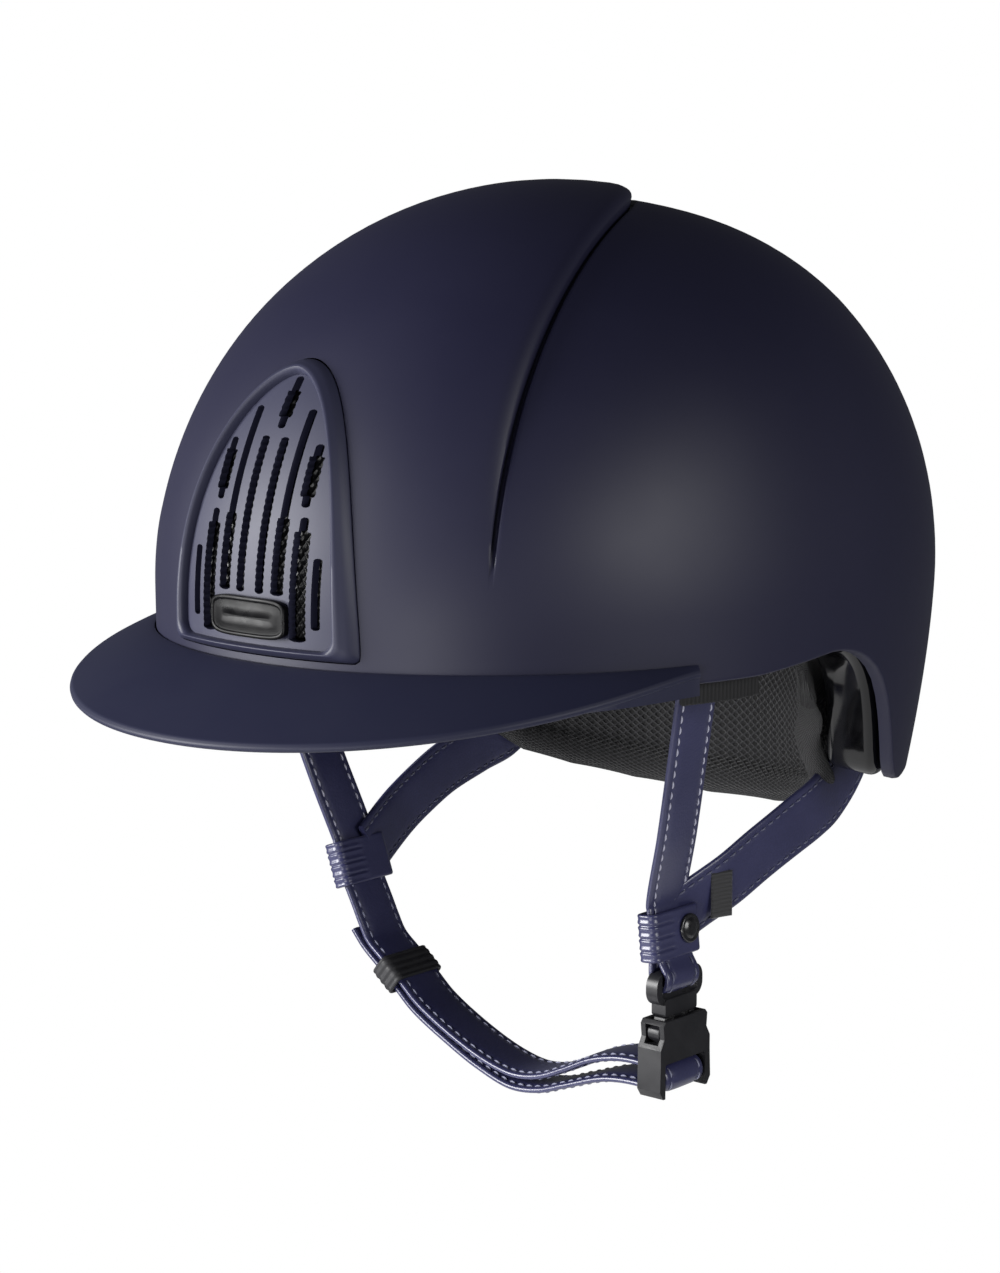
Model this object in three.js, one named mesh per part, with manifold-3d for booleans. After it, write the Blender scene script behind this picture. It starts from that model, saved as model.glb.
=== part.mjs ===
// Equestrian riding helmet, in millimetres. +Z is up, the front faces -Y, the wearer's left is +X.
// The origin is at the middle of the head opening, level with the joint between shell and peak.
import * as THREE from "three";
import { mergeVertices } from "three/addons/utils/BufferGeometryUtils.js";
import Module from "manifold-3d";

const wasm = await Module();
wasm.setup();

// ---- Driving dimensions ----

// The dome: superellipse plans that shrink upwards to the crown, and tuck in a little below the equator.
const HALF_WIDTH = 108;
const FRONT_REACH = 131;
const BACK_REACH = 124;
const PLAN_CENTRE_Y = 4;
const EQUATOR_Z = 13;
const CROWN_Z = 130;
const PLAN_FRONT = 2.09;
const PLAN_BACK = 2.28;
const RISE_FRONT = 1.82;
const RISE_SIDE = 2.32;
const RISE_BACK = 1.9;
const TUCK_SIDE = 0.015;
const TUCK_BACK = 0.095;
const TUCK_DEPTH = 70;

// The seam: in plan a parabola, where the front carapace ends in a lip above the sunk rear half.
const SEAM_CROWN_Y = 34;
const SEAM_BOW = 0.0315;
const SEAM_STEP = 4;
const SEAM_SINK_LENGTH = 55;
const SEAM_SLOT_DEPTH = 2.2;
const SEAM_END_Z = 26;
const SEAM_FULL_Z = 95;

// Thicknesses and insets, all measured inwards from the dome.
const SHELL_THICKNESS = 4;
const SEAM_THICKENING = 4.4;
const FOAM_GAP = 1.2;
const FOAM_INNER = 24;
const PAD_GAP = 1.8;
const COVER_GAP = 1.6;
const COVER_INNER = 17;
const PAD_THICKNESS = 6;

// Lower edges.
const FRONT_RIM_Z = -6;
const TAIL_Z = -51;
const COVER_HEIGHT = 14;

// The peak.
const PEAK_HALF_ANGLE = 68;
const PEAK_REACH = 35;
const PEAK_DROP = 19;
const PEAK_EDGE = 2.4;

// The grille: an outer arch and an inner arch, with a ridge between them.
const GRILLE_OUTER = { half: 35.2, base: 2, top: 82.7, p: 1.96, q: 1.9, corner: 2 };
const GRILLE_INNER = { half: 28.3, base: 5, top: 78, p: 2.55, q: 1.7, corner: 4 };
const PANEL_PROUD = 1.2;
const PANEL_BACK = -1.4;

// The harness. It lies round the fore-and-aft plane HARNESS_Y.
const HARNESS_Y = -19;
const STRAP_WIDTH = 18;
const STRAP_THICKNESS = 2.2;

const NAVY = 0x2b2c42;
const LEATHER = 0x34355a;
const BLACK = 0x131316;

// ---- Small helpers ----

const rad = (degrees) => (degrees * Math.PI) / 180;
const clamp = (value, low, high) => Math.min(high, Math.max(low, value));
const mix = (a, b, t) => a + (b - a) * t;

function smooth(low, high, value) {
  const t = clamp((value - low) / (high - low), 0, 1);
  return t * t * (3 - 2 * t);
}

function range(count) {
  return Array.from({ length: count + 1 }, (_, i) => i / count);
}

// Piecewise linear interpolation through [input, output] pairs.
function follow(table, input) {
  if (input <= table[0][0]) return table[0][1];
  for (let i = 1; i < table.length; i += 1) {
    const [x1, y1] = table[i];
    const [x0, y0] = table[i - 1];
    if (input <= x1) return mix(y0, y1, (input - x0) / (x1 - x0));
  }
  return table[table.length - 1][1];
}

// ---- The dome ----

// Radius of the dome about the plan's centre. phi is 0 at the front, +90 degrees at the wearer's left.
function domeRadius(phi, z) {
  const c = Math.cos(phi);
  const s = Math.sin(phi);
  const reach = c > 0 ? FRONT_REACH : BACK_REACH;
  const n = c > 0 ? PLAN_FRONT : PLAN_BACK;
  const plan = (Math.abs(s / HALF_WIDTH) ** n + Math.abs(c / reach) ** n) ** (-1 / n);
  if (z > EQUATOR_Z) {
    const front = clamp(c, 0, 1) ** 1.5;
    const back = clamp(-c, 0, 1) ** 1.5;
    const rise = RISE_SIDE * (1 - front - back) + RISE_FRONT * front + RISE_BACK * back;
    const up = clamp((z - EQUATOR_Z) / (CROWN_Z - EQUATOR_Z), 0, 1);
    return plan * Math.sqrt(1 - up ** rise);
  }
  const backness = (1 - c) / 2;
  return plan * (1 - (TUCK_SIDE + TUCK_BACK * backness ** 2) * ((EQUATOR_Z - z) / TUCK_DEPTH) ** 1.6);
}

// Signed distance in plan from the dome's skin, negative inside.
function outside(point) {
  if (point.z >= CROWN_Z) return 1e3;
  const y = point.y - PLAN_CENTRE_Y;
  return Math.hypot(point.x, y) - domeRadius(Math.atan2(point.x, -y), point.z);
}

function domeNormal(point) {
  if (point.z > CROWN_Z - 0.2) return new THREE.Vector3(0, 0, 1);
  const h = 0.05;
  const at = (dx, dy, dz) => outside(new THREE.Vector3(point.x + dx, point.y + dy, point.z + dz));
  const gradient = [at(h, 0, 0) - at(-h, 0, 0), at(0, h, 0) - at(0, -h, 0), at(0, 0, h) - at(0, 0, -h)];
  return new THREE.Vector3(...gradient).normalize();
}

// The point of the dome at phi and z, moved in from the skin by inset.
function domePoint(phi, z, inset) {
  const r = domeRadius(phi, z);
  const skin = new THREE.Vector3(r * Math.sin(phi), PLAN_CENTRE_Y - r * Math.cos(phi), z);
  return skin.addScaledVector(domeNormal(skin), -inset);
}

// Where a ray from an inside point leaves the dome.
function hitDome(start, direction) {
  let near = 0;
  let far = 330;
  for (let i = 0; i < 34; i += 1) {
    const middle = (near + far) / 2;
    const inside = outside(start.clone().addScaledVector(direction, middle)) < 0;
    near = inside ? middle : near;
    far = inside ? far : middle;
  }
  return start.clone().addScaledVector(direction, near);
}

// The point of the front of the dome at x and z, lifted off the skin by proud.
function onFront(x, z, proud) {
  const skin = hitDome(new THREE.Vector3(x, PLAN_CENTRE_Y, z), new THREE.Vector3(0, -1, 0));
  return skin.addScaledVector(domeNormal(skin), proud);
}

// Distance behind the seam, measured in plan.
function behindSeam(x, y) {
  return (y - SEAM_CROWN_Y + SEAM_BOW * x * x) / Math.hypot(1, 2 * SEAM_BOW * x);
}

const seamFade = (z) => smooth(SEAM_END_Z, SEAM_FULL_Z, z);

function sink(point) {
  const behind = behindSeam(point.x, point.y);
  if (behind < 0 || behind > SEAM_SINK_LENGTH) return 0;
  return SEAM_STEP * seamFade(point.z) * (1 - (behind / SEAM_SINK_LENGTH) ** 2) ** 1.5;
}

// The shell is thicker under the seam, so that the slot has a floor.
function shellInset(point) {
  const near = 1 - smooth(4, 30, Math.abs(behindSeam(point.x, point.y) - 6));
  return SHELL_THICKNESS + SEAM_THICKENING * near * seamFade(point.z);
}

// ---- Solids from point grids ----

function solidFrom(points, faces) {
  const geometry = new THREE.BufferGeometry();
  geometry.setAttribute("position", new THREE.Float32BufferAttribute(points.flatMap((p) => p.toArray()), 3));
  geometry.setIndex(faces.flat());
  const merged = mergeVertices(geometry, 1e-3);
  const index = Array.from(merged.index.array);
  const kept = [];
  for (let i = 0; i < index.length; i += 3) {
    const [a, b, c] = index.slice(i, i + 3);
    if (a !== b && b !== c && c !== a) kept.push([a, b, c]);
  }
  const at = merged.attributes.position;
  const corner = (i) => new THREE.Vector3().fromBufferAttribute(at, i);
  const volume = kept.reduce((sum, [a, b, c]) => sum + corner(a).dot(corner(b).cross(corner(c))), 0);
  merged.setIndex((volume < 0 ? kept.map(([a, b, c]) => [a, c, b]) : kept).flat());
  merged.computeVertexNormals();
  return merged;
}

// Closed body from two matching sheets of points, joined round their edges.
function sheetSolid(outer, inner, wraps = false) {
  const rows = outer.length;
  const cols = outer[0].length;
  const points = [...outer.flat(), ...inner.flat()];
  const at = (sheet, row, col) => (sheet * rows + row) * cols + (col % cols);
  const faces = [];
  const quad = (a, b, c, d) => faces.push([a, b, c], [a, c, d]);
  const lastCol = wraps ? cols : cols - 1;
  for (let row = 0; row < rows - 1; row += 1) {
    for (let col = 0; col < lastCol; col += 1) {
      quad(at(0, row, col), at(0, row, col + 1), at(0, row + 1, col + 1), at(0, row + 1, col));
      quad(at(1, row, col), at(1, row + 1, col), at(1, row + 1, col + 1), at(1, row, col + 1));
    }
    if (!wraps) {
      quad(at(0, row, 0), at(0, row + 1, 0), at(1, row + 1, 0), at(1, row, 0));
      quad(at(0, row, cols - 1), at(1, row, cols - 1), at(1, row + 1, cols - 1), at(0, row + 1, cols - 1));
    }
  }
  for (let col = 0; col < lastCol; col += 1) {
    quad(at(0, 0, col), at(1, 0, col), at(1, 0, col + 1), at(0, 0, col + 1));
    const top = rows - 1;
    quad(at(0, top, col), at(0, top, col + 1), at(1, top, col + 1), at(1, top, col));
  }
  return solidFrom(points, faces);
}

// Body through a row of closed loops. Open bodies are capped, closed ones join end to start.
function loftSolid(loops, closed = false) {
  const count = loops[0].length;
  const points = loops.flat();
  const faces = [];
  const spans = closed ? loops.length : loops.length - 1;
  for (let i = 0; i < spans; i += 1) {
    const next = (i + 1) % loops.length;
    for (let j = 0; j < count; j += 1) {
      const k = (j + 1) % count;
      faces.push([i * count + j, next * count + j, next * count + k]);
      faces.push([i * count + j, next * count + k, i * count + k]);
    }
  }
  if (!closed) {
    for (let j = 1; j < count - 1; j += 1) {
      const last = (loops.length - 1) * count;
      faces.push([0, j, j + 1], [last, last + j + 1, last + j]);
    }
  }
  return solidFrom(points, faces);
}

function toManifold(geometry) {
  const bare = geometry.clone();
  bare.deleteAttribute("normal");
  if (bare.hasAttribute("uv")) bare.deleteAttribute("uv");
  const merged = mergeVertices(bare, 1e-3);
  const vertProperties = new Float32Array(merged.attributes.position.array);
  const triVerts = new Uint32Array(merged.index.array);
  return new wasm.Manifold(new wasm.Mesh({ numProp: 3, vertProperties, triVerts }));
}

function fromManifold(manifold) {
  const { vertProperties, triVerts } = manifold.getMesh();
  const geometry = new THREE.BufferGeometry();
  geometry.setAttribute("position", new THREE.BufferAttribute(new Float32Array(vertProperties), 3));
  geometry.setIndex(new THREE.BufferAttribute(new Uint32Array(triVerts), 1));
  geometry.computeVertexNormals();
  return geometry;
}

function cut(body, ...tools) {
  return fromManifold(tools.reduce((left, tool) => left.subtract(toManifold(tool)), toManifold(body)));
}

function join(...bodies) {
  return fromManifold(bodies.map(toManifold).reduce((sum, body) => sum.add(body)));
}

function keepInside(body, tool) {
  return fromManifold(toManifold(body).intersect(toManifold(tool)));
}

// Prism whose outline is drawn in the YZ plane, from x0 to x1.
function prismX(shape, x0, x1) {
  const geometry = new THREE.ExtrudeGeometry(shape, { depth: x1 - x0, bevelEnabled: false, curveSegments: 4 });
  const axes = [new THREE.Vector3(0, 1, 0), new THREE.Vector3(0, 0, 1), new THREE.Vector3(1, 0, 0)];
  geometry.applyMatrix4(new THREE.Matrix4().makeBasis(...axes).setPosition(x0, 0, 0));
  return geometry;
}

// Prism whose outline is drawn in the XZ plane, from y0 back to y1.
function prismY(shape, y0, y1) {
  const geometry = new THREE.ExtrudeGeometry(shape, { depth: y1 - y0, bevelEnabled: false, curveSegments: 4 });
  return geometry.rotateX(Math.PI / 2).translate(0, y1, 0);
}

function roundedRect(halfWidth, halfHeight, radius, cx = 0, cy = 0) {
  const shape = new THREE.Shape();
  const [w, h, r] = [halfWidth, halfHeight, radius];
  shape.moveTo(cx - w + r, cy - h);
  shape.lineTo(cx + w - r, cy - h);
  shape.absarc(cx + w - r, cy - h + r, r, -Math.PI / 2, 0);
  shape.lineTo(cx + w, cy + h - r);
  shape.absarc(cx + w - r, cy + h - r, r, 0, Math.PI / 2);
  shape.lineTo(cx - w + r, cy + h);
  shape.absarc(cx - w + r, cy + h - r, r, Math.PI / 2, Math.PI);
  shape.lineTo(cx - w, cy - h + r);
  shape.absarc(cx - w + r, cy - h + r, r, Math.PI, 1.5 * Math.PI);
  return shape;
}

// ---- Lower edges, as heights round the plan in degrees from the front ----

const RIM = [
  [0, FRONT_RIM_Z], [72, FRONT_RIM_Z], [82, -4.2], [90, -2.6], [96, -4.8], [101, -9.6],
  [105, -16.4], [108.5, -28], [112, -42], [114, -48], [118, TAIL_Z], [180, TAIL_Z + 2],
];

// A pad or cover that lies between two insets, over a span of angles and heights.
function domePatch(fromDeg, toDeg, lowZ, highZ, outerInset, innerInset, cols, rows) {
  const sheet = (inset) => range(rows).map((t) => range(cols).map((s) => {
    const phi = rad(mix(fromDeg, toDeg, s));
    const round = Math.min(1, Math.min(s, 1 - s) * cols * 0.5) ** 0.5;
    const middle = (lowZ(phi) + highZ(phi)) / 2;
    const half = ((highZ(phi) - lowZ(phi)) / 2) * mix(0.75, 1, round);
    return domePoint(phi, middle + half * (2 * t - 1), inset);
  }));
  return sheetSolid(sheet(outerInset), sheet(innerInset));
}

// ---- Outer shell: front carapace and rear half in one moulding ----

// Rays fan out from a cross axis between the temples. Each fan line runs from ear to ear, the first along
// the front edge, the last along the back edge, and one of them along the seam.
const FAN_START = new THREE.Vector3(0, -103.5, -12);
const FAN_BACK = rad(196);
const FAN_COLUMNS = 24;
const FRONT_ROWS = 8;
const REAR_ROWS = 12;

function fanDirection(alpha, beta) {
  const c = Math.cos(beta);
  return new THREE.Vector3(Math.sin(beta), -c * Math.cos(alpha), c * Math.sin(alpha));
}

function seamAngle(beta) {
  let low = rad(40);
  let high = rad(165);
  for (let i = 0; i < 30; i += 1) {
    const middle = (low + high) / 2;
    const hit = hitDome(FAN_START, fanDirection(middle, beta));
    if (behindSeam(hit.x, hit.y) < 0) low = middle;
    else high = middle;
  }
  return (low + high) / 2;
}

// Rows across the seam: distance behind it, and depth below the carapace in step and slot depths.
const SEAM_ROWS = [
  { shift: -1.4, step: 0, slot: 0 },
  { shift: -0.4, step: 0.1, slot: 0 },
  { shift: 0, step: 0.35, slot: 0 },
  { shift: 0.1, step: 1, slot: 1 },
  { shift: 1.9, step: 1, slot: 1 },
  { shift: 2.1, step: 1, slot: 0 },
];

// One fan line: points on the skin from the front edge to the back edge, with rows set close to the seam.
function fanLine(beta, seamRows, frontCount, rearCount) {
  const seam = seamAngle(beta);
  const hitAt = (alpha) => hitDome(FAN_START, fanDirection(alpha, beta));
  const reach = Math.max(40, hitAt(seam).distanceTo(FAN_START));
  const first = seam + seamRows[0].shift / reach;
  const last = seam + seamRows[seamRows.length - 1].shift / reach;
  const plain = (hit) => ({ hit, depth: sink(hit) });
  const front = range(frontCount).slice(0, -1).map((t) => plain(hitAt(first * t ** 0.9)));
  const middle = seamRows.map(({ shift, step, slot }) => {
    const hit = hitAt(seam + shift / reach);
    return { hit, depth: seamFade(hit.z) * (step * SEAM_STEP + slot * SEAM_SLOT_DEPTH) };
  });
  const rear = range(rearCount).slice(1).map((t) => plain(hitAt(mix(last, FAN_BACK, t ** 1.15))));
  return [...front, ...middle, ...rear];
}

// Closed layer on the fan grid. Each inset is a function of a skin point and its depth below the skin.
function fanSolid(seamRows, frontCount, rearCount, outerInset, innerInset) {
  const steps = range(FAN_COLUMNS).map((t) => Math.sign(t - 0.5) * Math.abs(2 * t - 1) ** 1.15 * 90);
  const fan = steps.map((beta) => fanLine(rad(beta), seamRows, frontCount, rearCount));
  const sheet = (inset) => fan[0].map((_, row) => fan.map((line) => {
    const { hit, depth } = line[row];
    return hit.clone().addScaledVector(domeNormal(hit), -inset(hit, depth));
  }));
  return sheetSolid(sheet(outerInset), sheet(innerInset));
}

function outerShell() {
  const body = fanSolid(SEAM_ROWS, FRONT_ROWS, REAR_ROWS, (hit, depth) => depth, shellInset);
  return cut(body, belowEdge(RIM), grilleHole());
}

// Everything under a lower edge given as [degrees, height], drawn from the side.
function belowEdge(edge) {
  const shape = new THREE.Shape();
  shape.moveTo(-150, -95);
  shape.lineTo(-150, edge[0][1]);
  for (const [degrees, z] of edge.slice(1, -1)) {
    shape.lineTo(domePoint(rad(degrees), z, 0).y, z);
  }
  const backZ = edge[edge.length - 1][1];
  shape.lineTo(140, backZ);
  shape.lineTo(140, -95);
  return prismX(shape, -130, 130);
}

// ---- Peak ----

function peak() {
  const loops = range(32).map((t) => {
    const degrees = mix(-PEAK_HALF_ANGLE, PEAK_HALF_ANGLE, t);
    const phi = rad(degrees);
    const q = 1 - (degrees / PEAK_HALF_ANGLE) ** 2;
    const reach = 1.6 + PEAK_REACH * q ** 0.85;
    const edgeZ = -1.5 - PEAK_DROP * q ** 1.6;
    const root = domeRadius(phi, FRONT_RIM_Z) + 0.5;
    const at = (r, z) => new THREE.Vector3(r * Math.sin(phi), PLAN_CENTRE_Y - r * Math.cos(phi), z);
    const top = range(5).map((s) => at(root + reach * s, -0.2 + (edgeZ + 0.2) * s ** 1.2));
    const under = FRONT_RIM_Z - 0.5;
    const nose = [at(root + reach + 0.7, edgeZ - 0.5 * PEAK_EDGE), at(root + reach - 0.3, edgeZ - PEAK_EDGE)];
    const below = [at(root + 0.45 * reach, Math.min(under - 1.6, 0.45 * edgeZ - PEAK_EDGE - 1.4))];
    const foot = [at(root - SHELL_THICKNESS - 1.6, under - 2.2), at(root - SHELL_THICKNESS - 1.6, under)];
    return [...top, ...nose, ...below, ...foot, at(root, under)];
  });
  return loftSolid(loops);
}

// ---- Front grille ----

// Half of an arch outline from the middle of its base, round the right corner, to its top.
function archPoint(arch, s) {
  const { half, base, top, p, q, corner } = arch;
  const sideX = (z) => half * (1 - clamp((z - base) / (top - base), 0, 1) ** p) ** (1 / q);
  const cornerX = sideX(base + corner);
  if (s < 0.16) return new THREE.Vector2(mix(0, cornerX - corner, s / 0.16), base);
  if (s < 0.28) {
    const turn = ((s - 0.16) / 0.12) * (Math.PI / 2);
    return new THREE.Vector2(cornerX - corner + corner * Math.sin(turn), base + corner * (1 - Math.cos(turn)));
  }
  const z = mix(base + corner, top, Math.sin(((s - 0.28) / 0.72) * (Math.PI / 2)));
  return new THREE.Vector2(s < 1 ? sideX(z) : 0, z);
}

function archOutline(arch, halfCount) {
  const right = range(halfCount).map((s) => archPoint(arch, s));
  const left = right.slice(1, -1).reverse().map((v) => new THREE.Vector2(-v.x, v.y));
  return [...right, ...left];
}

function grown(arch, by) {
  return { ...arch, half: arch.half + by, base: arch.base - by, top: arch.top + by };
}

const grilleHole = () => prismY(new THREE.Shape(archOutline(grown(GRILLE_OUTER, 0.5), 20)), -150, -60);

// Ridge profile from the shell inwards: fraction of the way to the inner arch, and height off the dome.
const RIDGE = [
  [0, -4], [0, 0.2], [0.12, 1.3], [0.5, 3], [0.68, 3.8], [0.84, 3.9], [0.96, 3.1], [1, 1.9], [1, -4],
];

function grilleRidge() {
  const outer = archOutline(GRILLE_OUTER, 20);
  const inner = archOutline(GRILLE_INNER, 20);
  const loops = outer.map((from, i) => RIDGE.map(([across, proud]) => {
    const place = from.clone().lerp(inner[i], across);
    return onFront(place.x, place.y, proud);
  }));
  return loftSolid(loops, true);
}

// Curved sheet over the whole arch, between two heights off the dome.
function frontSheet(proud, back) {
  const sheet = (h) => range(11).map((t) => range(9).map((s) => onFront(mix(-31, 31, s), mix(1, 81, t), h)));
  return sheetSolid(sheet(proud), sheet(back));
}

// One slot from lowZ to highZ. Steps give the half width between heights.
function slotShape(x, steps) {
  const shape = new THREE.Shape();
  const rise = steps.flatMap(([low, high, half]) => [[half, low], [half, high]]);
  shape.moveTo(x - rise[0][0], rise[0][1]);
  rise.forEach(([half, z]) => shape.lineTo(x + half, z));
  rise.slice(1).reverse().forEach(([half, z]) => shape.lineTo(x - half, z));
  return shape;
}

function grilleSlots() {
  const narrow = 1.15;
  const slots = [slotShape(0.6, [[64.2, 67.2, narrow], [67.2, 74.2, 2.1], [74.2, 78.2, narrow]])];
  for (const side of [-1, 1]) {
    slots.push(slotShape(side * 3.7, [[19.2, 62, 1.25]]));
    slots.push(slotShape(side * 10.2, [[19.2, 40.4, 1.95], [40.4, 69.8, narrow]]));
    slots.push(slotShape(side * 16.6, [[43.8, 46.6, narrow], [46.6, 57.4, 2.1], [57.4, 60.8, narrow]]));
    slots.push(slotShape(side * 17.3, [[6.9, 37.2, 2.6], [37.2, 41.2, narrow]]));
    slots.push(slotShape(side * 23.2, [[10.6, 30.4, narrow]]));
  }
  return slots.map((shape) => prismY(shape, -150, -60));
}

function grilleFrame() {
  const sheet = frontSheet(PANEL_PROUD, PANEL_BACK);
  const outline = new THREE.Shape(archOutline(grown(GRILLE_INNER, 0.7), 20));
  const panel = keepInside(sheet, prismY(outline, -150, -60));
  return join(grilleRidge(), cut(panel, ...grilleSlots()));
}

function grilleMesh() {
  const sheet = frontSheet(PANEL_BACK - 0.4, PANEL_BACK - 1.2);
  return keepInside(sheet, prismY(new THREE.Shape(archOutline(grown(GRILLE_INNER, -2), 16)), -150, -60));
}

function grillePlate() {
  const sheet = frontSheet(PANEL_PROUD + 2.4, PANEL_PROUD + 0.3);
  return keepInside(sheet, prismY(roundedRect(14, 5.6, 2.4, 0.6, 12.6), -150, -90));
}

// ---- Impact liner and covers ----

const FOAM_ROWS = [SEAM_ROWS[0], SEAM_ROWS[SEAM_ROWS.length - 1]];

function impactLiner() {
  const outer = (hit) => shellInset(hit) + FOAM_GAP;
  const body = fanSolid(FOAM_ROWS, FRONT_ROWS, REAR_ROWS, outer, () => FOAM_INNER);
  const edge = RIM.map(([degrees, z]) => [degrees, Math.min(FRONT_RIM_Z + 3, z + COVER_HEIGHT + 0.8)]);
  const air = frontSheet(6, -12);
  const duct = keepInside(air, prismY(new THREE.Shape(archOutline(grown(GRILLE_INNER, -4), 14)), -150, -60));
  return cut(body, belowEdge(edge), duct);
}

// The gloss moulding that closes the foam's edge behind the ears, between two lines seen from the side.
function rearInnerCover() {
  const band = RIM.filter(([degrees]) => degrees >= 96);
  const line = (lift) => band.map(([degrees, z]) => {
    const { y } = domePoint(rad(degrees), z, 0);
    return new THREE.Vector2(degrees === 180 ? 140 : y, Math.min(FRONT_RIM_Z + 2, z + lift));
  });
  const side = new THREE.Shape([...line(-0.8), ...line(COVER_HEIGHT).reverse()]);
  const ring = domePatch(94, 266, () => -62, () => 2, SHELL_THICKNESS + COVER_GAP, COVER_INNER, 26, 2);
  return keepInside(ring, prismX(side, -130, 130));
}

// ---- Comfort liner ----

const PAD_OUTER = FOAM_INNER + PAD_GAP;
const PAD_INNER = PAD_OUTER + PAD_THICKNESS;

function napePad() {
  const low = [[116, -44], [124, -62], [140, -70], [160, -79], [180, -82]];
  const high = [[116, -6], [124, 0], [180, 4]];
  const turn = (phi) => 180 - Math.abs(180 - (phi * 180) / Math.PI);
  return domePatch(116, 244, (p) => follow(low, turn(p)), (p) => follow(high, turn(p)), PAD_OUTER, PAD_INNER, 20, 6);
}

const headbandPad = () => domePatch(-62, 62, () => 0, () => 26, PAD_OUTER, PAD_INNER, 16, 3);

function sidePad(side) {
  const from = side > 0 ? 66 : -108;
  return domePatch(from, from + 42, () => 2, () => 30, PAD_OUTER, PAD_INNER, 8, 3);
}

function crownPad() {
  const sheet = (inset) => range(4).map((t) => range(18).slice(0, -1).map((s) => (
    domePoint(2 * Math.PI * s, mix(118, CROWN_Z, t), inset))));
  return sheetSolid(sheet(PAD_OUTER + 3), sheet(PAD_INNER + 3), true);
}

// ---- Harness ----

// Flat strap along a path of centre points. width is the strap's sideways direction.
function ribbon(path, width, wide = STRAP_WIDTH, thick = STRAP_THICKNESS) {
  const loops = path.map((point, i) => {
    const before = path[Math.max(0, i - 1)];
    const after = path[Math.min(path.length - 1, i + 1)];
    const along = after.clone().sub(before).normalize();
    const across = width.clone().addScaledVector(along, -width.dot(along)).normalize();
    const normal = along.clone().cross(across);
    const [a, b] = [wide / 2, thick / 2];
    const section = [[-a, -b], [a, -b], [a, b], [-a, b]];
    return section.map(([u, v]) => point.clone().addScaledVector(across, u).addScaledVector(normal, v));
  });
  return loftSolid(loops);
}

const curve = (points, steps) => new THREE.CatmullRomCurve3(points, false, "centripetal").getPoints(steps);
const vec = (x, y, z) => new THREE.Vector3(x, y, z);
const mirrored = (points) => points.map((p) => vec(-p.x, p.y, p.z));

// Each loop's middle, and the way down along it.
const LOOPS = {
  left: { side: 1, middle: vec(63.4, -18.6, -89), down: vec(0.1, 0, -1).normalize() },
  right: { side: -1, middle: vec(-62.4, -18.6, -86.4), down: vec(0.36, 0, -1).normalize() },
};
const LOOP_LENGTH = 14.4;

function frontStrap({ side, middle, down }) {
  const along = (distance) => middle.clone().addScaledVector(down, distance);
  const top = [vec(92.5, -42, -7.6), vec(83.5, -35, -31.6), vec(73, -26.8, -57)];
  const points = [...(side > 0 ? top : mirrored(top)), along(-9.4), along(-6.6), along(0), along(6.8)];
  return ribbon(curve(points, 18), vec(0, 1, 0));
}

function rearStrap({ side, middle }) {
  const points = [vec(68.6, -5.8, -84), vec(70.8, 10, -76), vec(73.8, 29, -63), vec(75, 41, -50.5), vec(76.2, 45.5, -37)];
  const placed = (side > 0 ? points : mirrored(points)).map((p, i) => (
    p.clone().add(vec(0, 0, (middle.z + 89) * (1 - i / 4)))));
  return ribbon(curve(placed, 14), vec(0, -0.6, 0.8), 19);
}

// Flat sleeve that straps run through, along local z.
function sleeve(length, wide, thick, wall) {
  const shape = roundedRect(wide / 2 + wall, thick / 2 + wall, 2.6);
  shape.holes.push(roundedRect(wide / 2, thick / 2, 0.8));
  const geometry = new THREE.ExtrudeGeometry(shape, { depth: length, bevelEnabled: false, curveSegments: 4 });
  return geometry.translate(0, 0, -length / 2);
}

// Turns local x to fore-and-aft and local z to a direction in the XZ plane.
function standAlong(along) {
  const across = vec(0, 1, 0);
  return new THREE.Matrix4().makeBasis(across, along.clone().cross(across), along);
}

// Chin strap: the upper layer runs to the buckle's bar, round it, and back underneath to the free end.
const BAR = { x: 66, z: -131.4, half: 1.5, wrap: 3.5 };

function chinPath() {
  const upper = [
    [-56.2, -99.2], [-53.6, -104.2], [-50.5, -109.3], [-44.2, -114.3], [-36.3, -120.6], [-29.3, -126.2],
    [-14, -134.2], [0, -139.4], [10.5, -141.2], [20, -139.8], [30, -135.7], [40, -130.9], [50, -128.2], [58, -127.6],
    [BAR.x - 1, BAR.z + BAR.wrap],
  ];
  const turn = [60, 25, -10, -45].map((degrees) => {
    return [BAR.x + BAR.wrap * Math.cos(rad(degrees)), BAR.z + BAR.wrap * Math.sin(rad(degrees))];
  });
  const lower = [
    [BAR.x - 1, BAR.z - BAR.wrap], [58, -134.2], [46, -135.4], [30, -140.8], [20, -144.2], [9, -145.2],
    [-4, -141.6], [-16, -136.4], [-31, -128.5], [-38.2, -122.7], [-46, -116.4], [-52.3, -111.5], [-56.8, -106.6],
  ];
  return [...upper, ...turn, ...lower].map(([x, z]) => vec(x, HARNESS_Y, z));
}

const chinStrap = () => ribbon(curve(chinPath(), 64), vec(0, 1, 0));

// The short strap under the left loop, folded round the top bar of the buckle.
function leftStub() {
  const { middle, down } = LOOPS.left;
  const mouth = middle.clone().addScaledVector(down, LOOP_LENGTH / 2 + 1.4);
  const fold = [[3.4, 0], [3.1, -101], [2.3, -103.8], [0, -104.8], [-2.3, -103.8], [-3.1, -101], [-2.3, 0]];
  const path = fold.map(([x, z]) => (z === 0 ? mouth.clone().add(vec(x, 0, 0)) : vec(BAR.x + x, HARNESS_Y, z)));
  return ribbon(curve(path, 18), vec(0, 1, 0), 15.4);
}

const rightStub = () => ribbon([vec(-59.1, HARNESS_Y, -93.9), vec(-57.4, HARNESS_Y, -97)], vec(0, 1, 0));

// ---- Buckle, drawn in the YZ plane about its middle line ----

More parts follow.
